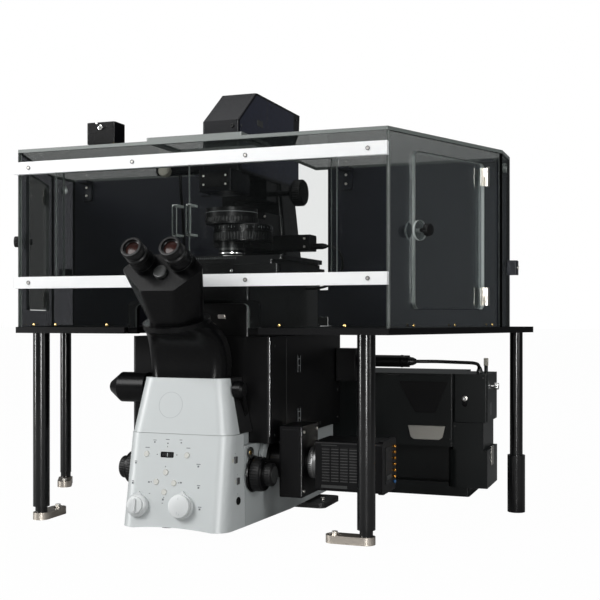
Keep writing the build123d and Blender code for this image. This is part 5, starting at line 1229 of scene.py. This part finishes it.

# %% [markdown]
# ## Small things round the column
# A bare plate is fixed to the body beside the neck, a black tray lies under the right side of the
# body, and the lamp housing has dark blue flanks. Black blocks of painted shade, one on the left
# flank of the pillar and one at the foot of each rear skirt, only hide the backdrop where the
# photograph is dark, and two thin satin trims are painted highlights that stand for bright lines on
# rounded corners.

# %% Painted shade blocks, plate, tray, flanks and highlight trims
# painted shade: a black block on the left flank of the pillar stands where there is only shade
block("pillar_shade_block", (-101.0, -43.4), (352.0, 376.0), (566.0, 652.0), "black_satin", 1.5)
plate("neck_plate", rounded_box(13.0, 7.0, 0.8), (36.0, 49.9, 371.0), FRONT, 0.6, "zinc", bevel=0.2)
block("under_tray", (110.0, 127.0), (60.6, 118.0), (150.0, 168.0), "black_coat", 2.0)
for side, _, facing in SIDES:
    flank = [(141.5, 645), (455, 645), (455, 722), (425, 722), (425, 793.5), (223.5, 793.5), (141.5, 731)]
    plate(
        "lamp_flank%d" % side, [(side * y, z) for y, z in flank], (SCOPE_X + side * LAMP_HALF, 0, 0),
        facing, 0.15, "navy_panel",
    )
    ends = sorted((side * 97.0, side * 117.8))
    # painted shade: black blocks at the foot of the rear skirts fill gaps that show only shade
    block("gap_shade_block%d" % side, ends, (388.2, 391.8), (352.0, 370.2), "black_rubber", 0.3)
# painted highlights: thin bright trims on the rounded front corners of the body and the relay box stand for
# the lines that lamps draw there
slab("body_edge_highlight", circle(1.5), (125.9, 52.1, 165.0), RIGHT, BACK, 170.0, "edge_shine")
slab("relay_edge_highlight", circle(1.1), (180.8, 61.2, 63.0), RIGHT, BACK, 116.0, "edge_shine")
print("column dressed")

# %% [markdown]
# ## Studio
# A pale floor keeps the shadow, and the background is white to the camera, to mirrors and to
# what is seen through the acrylic. Soft lamps and narrow bright cards stand where their reflections
# draw the long highlights on the legs and on the neck.


# %% Floor, lamps and background
def backdrop_finish():
    """A pale floor that shows a little brighter to the camera than it lights the object."""
    made = Finish("studio_floor")
    rays = made.node("ShaderNodeLightPath")
    seen = Value(made, rays.outputs["Is Camera Ray"]).math("MAXIMUM", rays.outputs["Is Transmission Ray"])
    made.set(Base_Color=(0.5, 0.5, 0.5, 1.0), Roughness=0.9)
    facing_amount = made.node("ShaderNodeEmission", None, {"Color": (1, 1, 1, 1), "Strength": 1.0})
    made.show(made.blend(seen * 0.985, made.shader, facing_amount))


FLOOR_HALF = 30
floor_corners = [(x * FLOOR_HALF, y * FLOOR_HALF, 0) for x, y in ((-1, -1), (1, -1), (1, 1), (-1, 1))]
floor_mesh = bpy.data.meshes.new("floor")
floor_mesh.from_pydata(floor_corners, [], [(0, 1, 2, 3)])
floor = bpy.data.objects.new("floor", floor_mesh)
bpy.context.scene.collection.objects.link(floor)
backdrop_finish()
dress(floor, "studio_floor")


def lamp(name, place_mm, target_mm, size, power, shine_only=False):
    """A soft rectangular lamp, size in metres, aimed at a point. A lamp that is for shine only is
    seen in gloss, and lights nothing else, like a bright card beside the object."""
    data = bpy.data.lights.new(name, "AREA")
    data.shape = "RECTANGLE"
    data.size, data.size_y = size
    data.energy = power
    made = bpy.data.objects.new(name, data)
    bpy.context.scene.collection.objects.link(made)
    made.visible_diffuse = not shine_only
    made.location = place(*place_mm)
    made.rotation_euler = (place(*target_mm) - made.location).to_track_quat("-Z", "Y").to_euler()


lamp("key", (-1500, -2200, 2100), (0, 100, 350), (1.5, 1.5), 84)
lamp("right_strip", (2300, -900, 1000), (100, 150, 350), (0.4, 1.8), 16)
lamp("front_strip", (1150, -2500, 700), (100, 60, 320), (0.2, 1.9), 105, True)
lamp("left_strip", (-2500, -1300, 900), (0, 60, 320), (0.2, 1.9), 90, True)
lamp("overhead", (0, 200, 2700), (0, 200, 0), (2.4, 2.0), 24)

world = bpy.data.worlds.new("studio")
bpy.context.scene.world = world
world.use_nodes = True
sky = world.node_tree
sky.nodes.clear()
ray = sky.nodes.new("ShaderNodeLightPath")
ambient = sky.nodes.new("ShaderNodeBackground")
ambient.inputs["Color"].default_value = (0.96, 0.98, 1.0, 1.0)
ambient.inputs["Strength"].default_value = 0.14
white = sky.nodes.new("ShaderNodeBackground")
white.inputs["Color"].default_value = (1.0, 1.0, 1.0, 1.0)
white.inputs["Strength"].default_value = 1.0
either = sky.nodes.new("ShaderNodeMath")
either.operation = "MAXIMUM"
mix = sky.nodes.new("ShaderNodeMixShader")
out = sky.nodes.new("ShaderNodeOutputWorld")
sky.links.new(ray.outputs["Is Camera Ray"], either.inputs[0])
sky.links.new(ray.outputs["Is Transmission Ray"], either.inputs[1])
sky.links.new(either.outputs[0], mix.inputs[0])
sky.links.new(ambient.outputs[0], mix.inputs[1])
sky.links.new(white.outputs[0], mix.inputs[2])
sky.links.new(mix.outputs[0], out.inputs["Surface"])
print("studio ready, lamps:", len(bpy.data.lights))
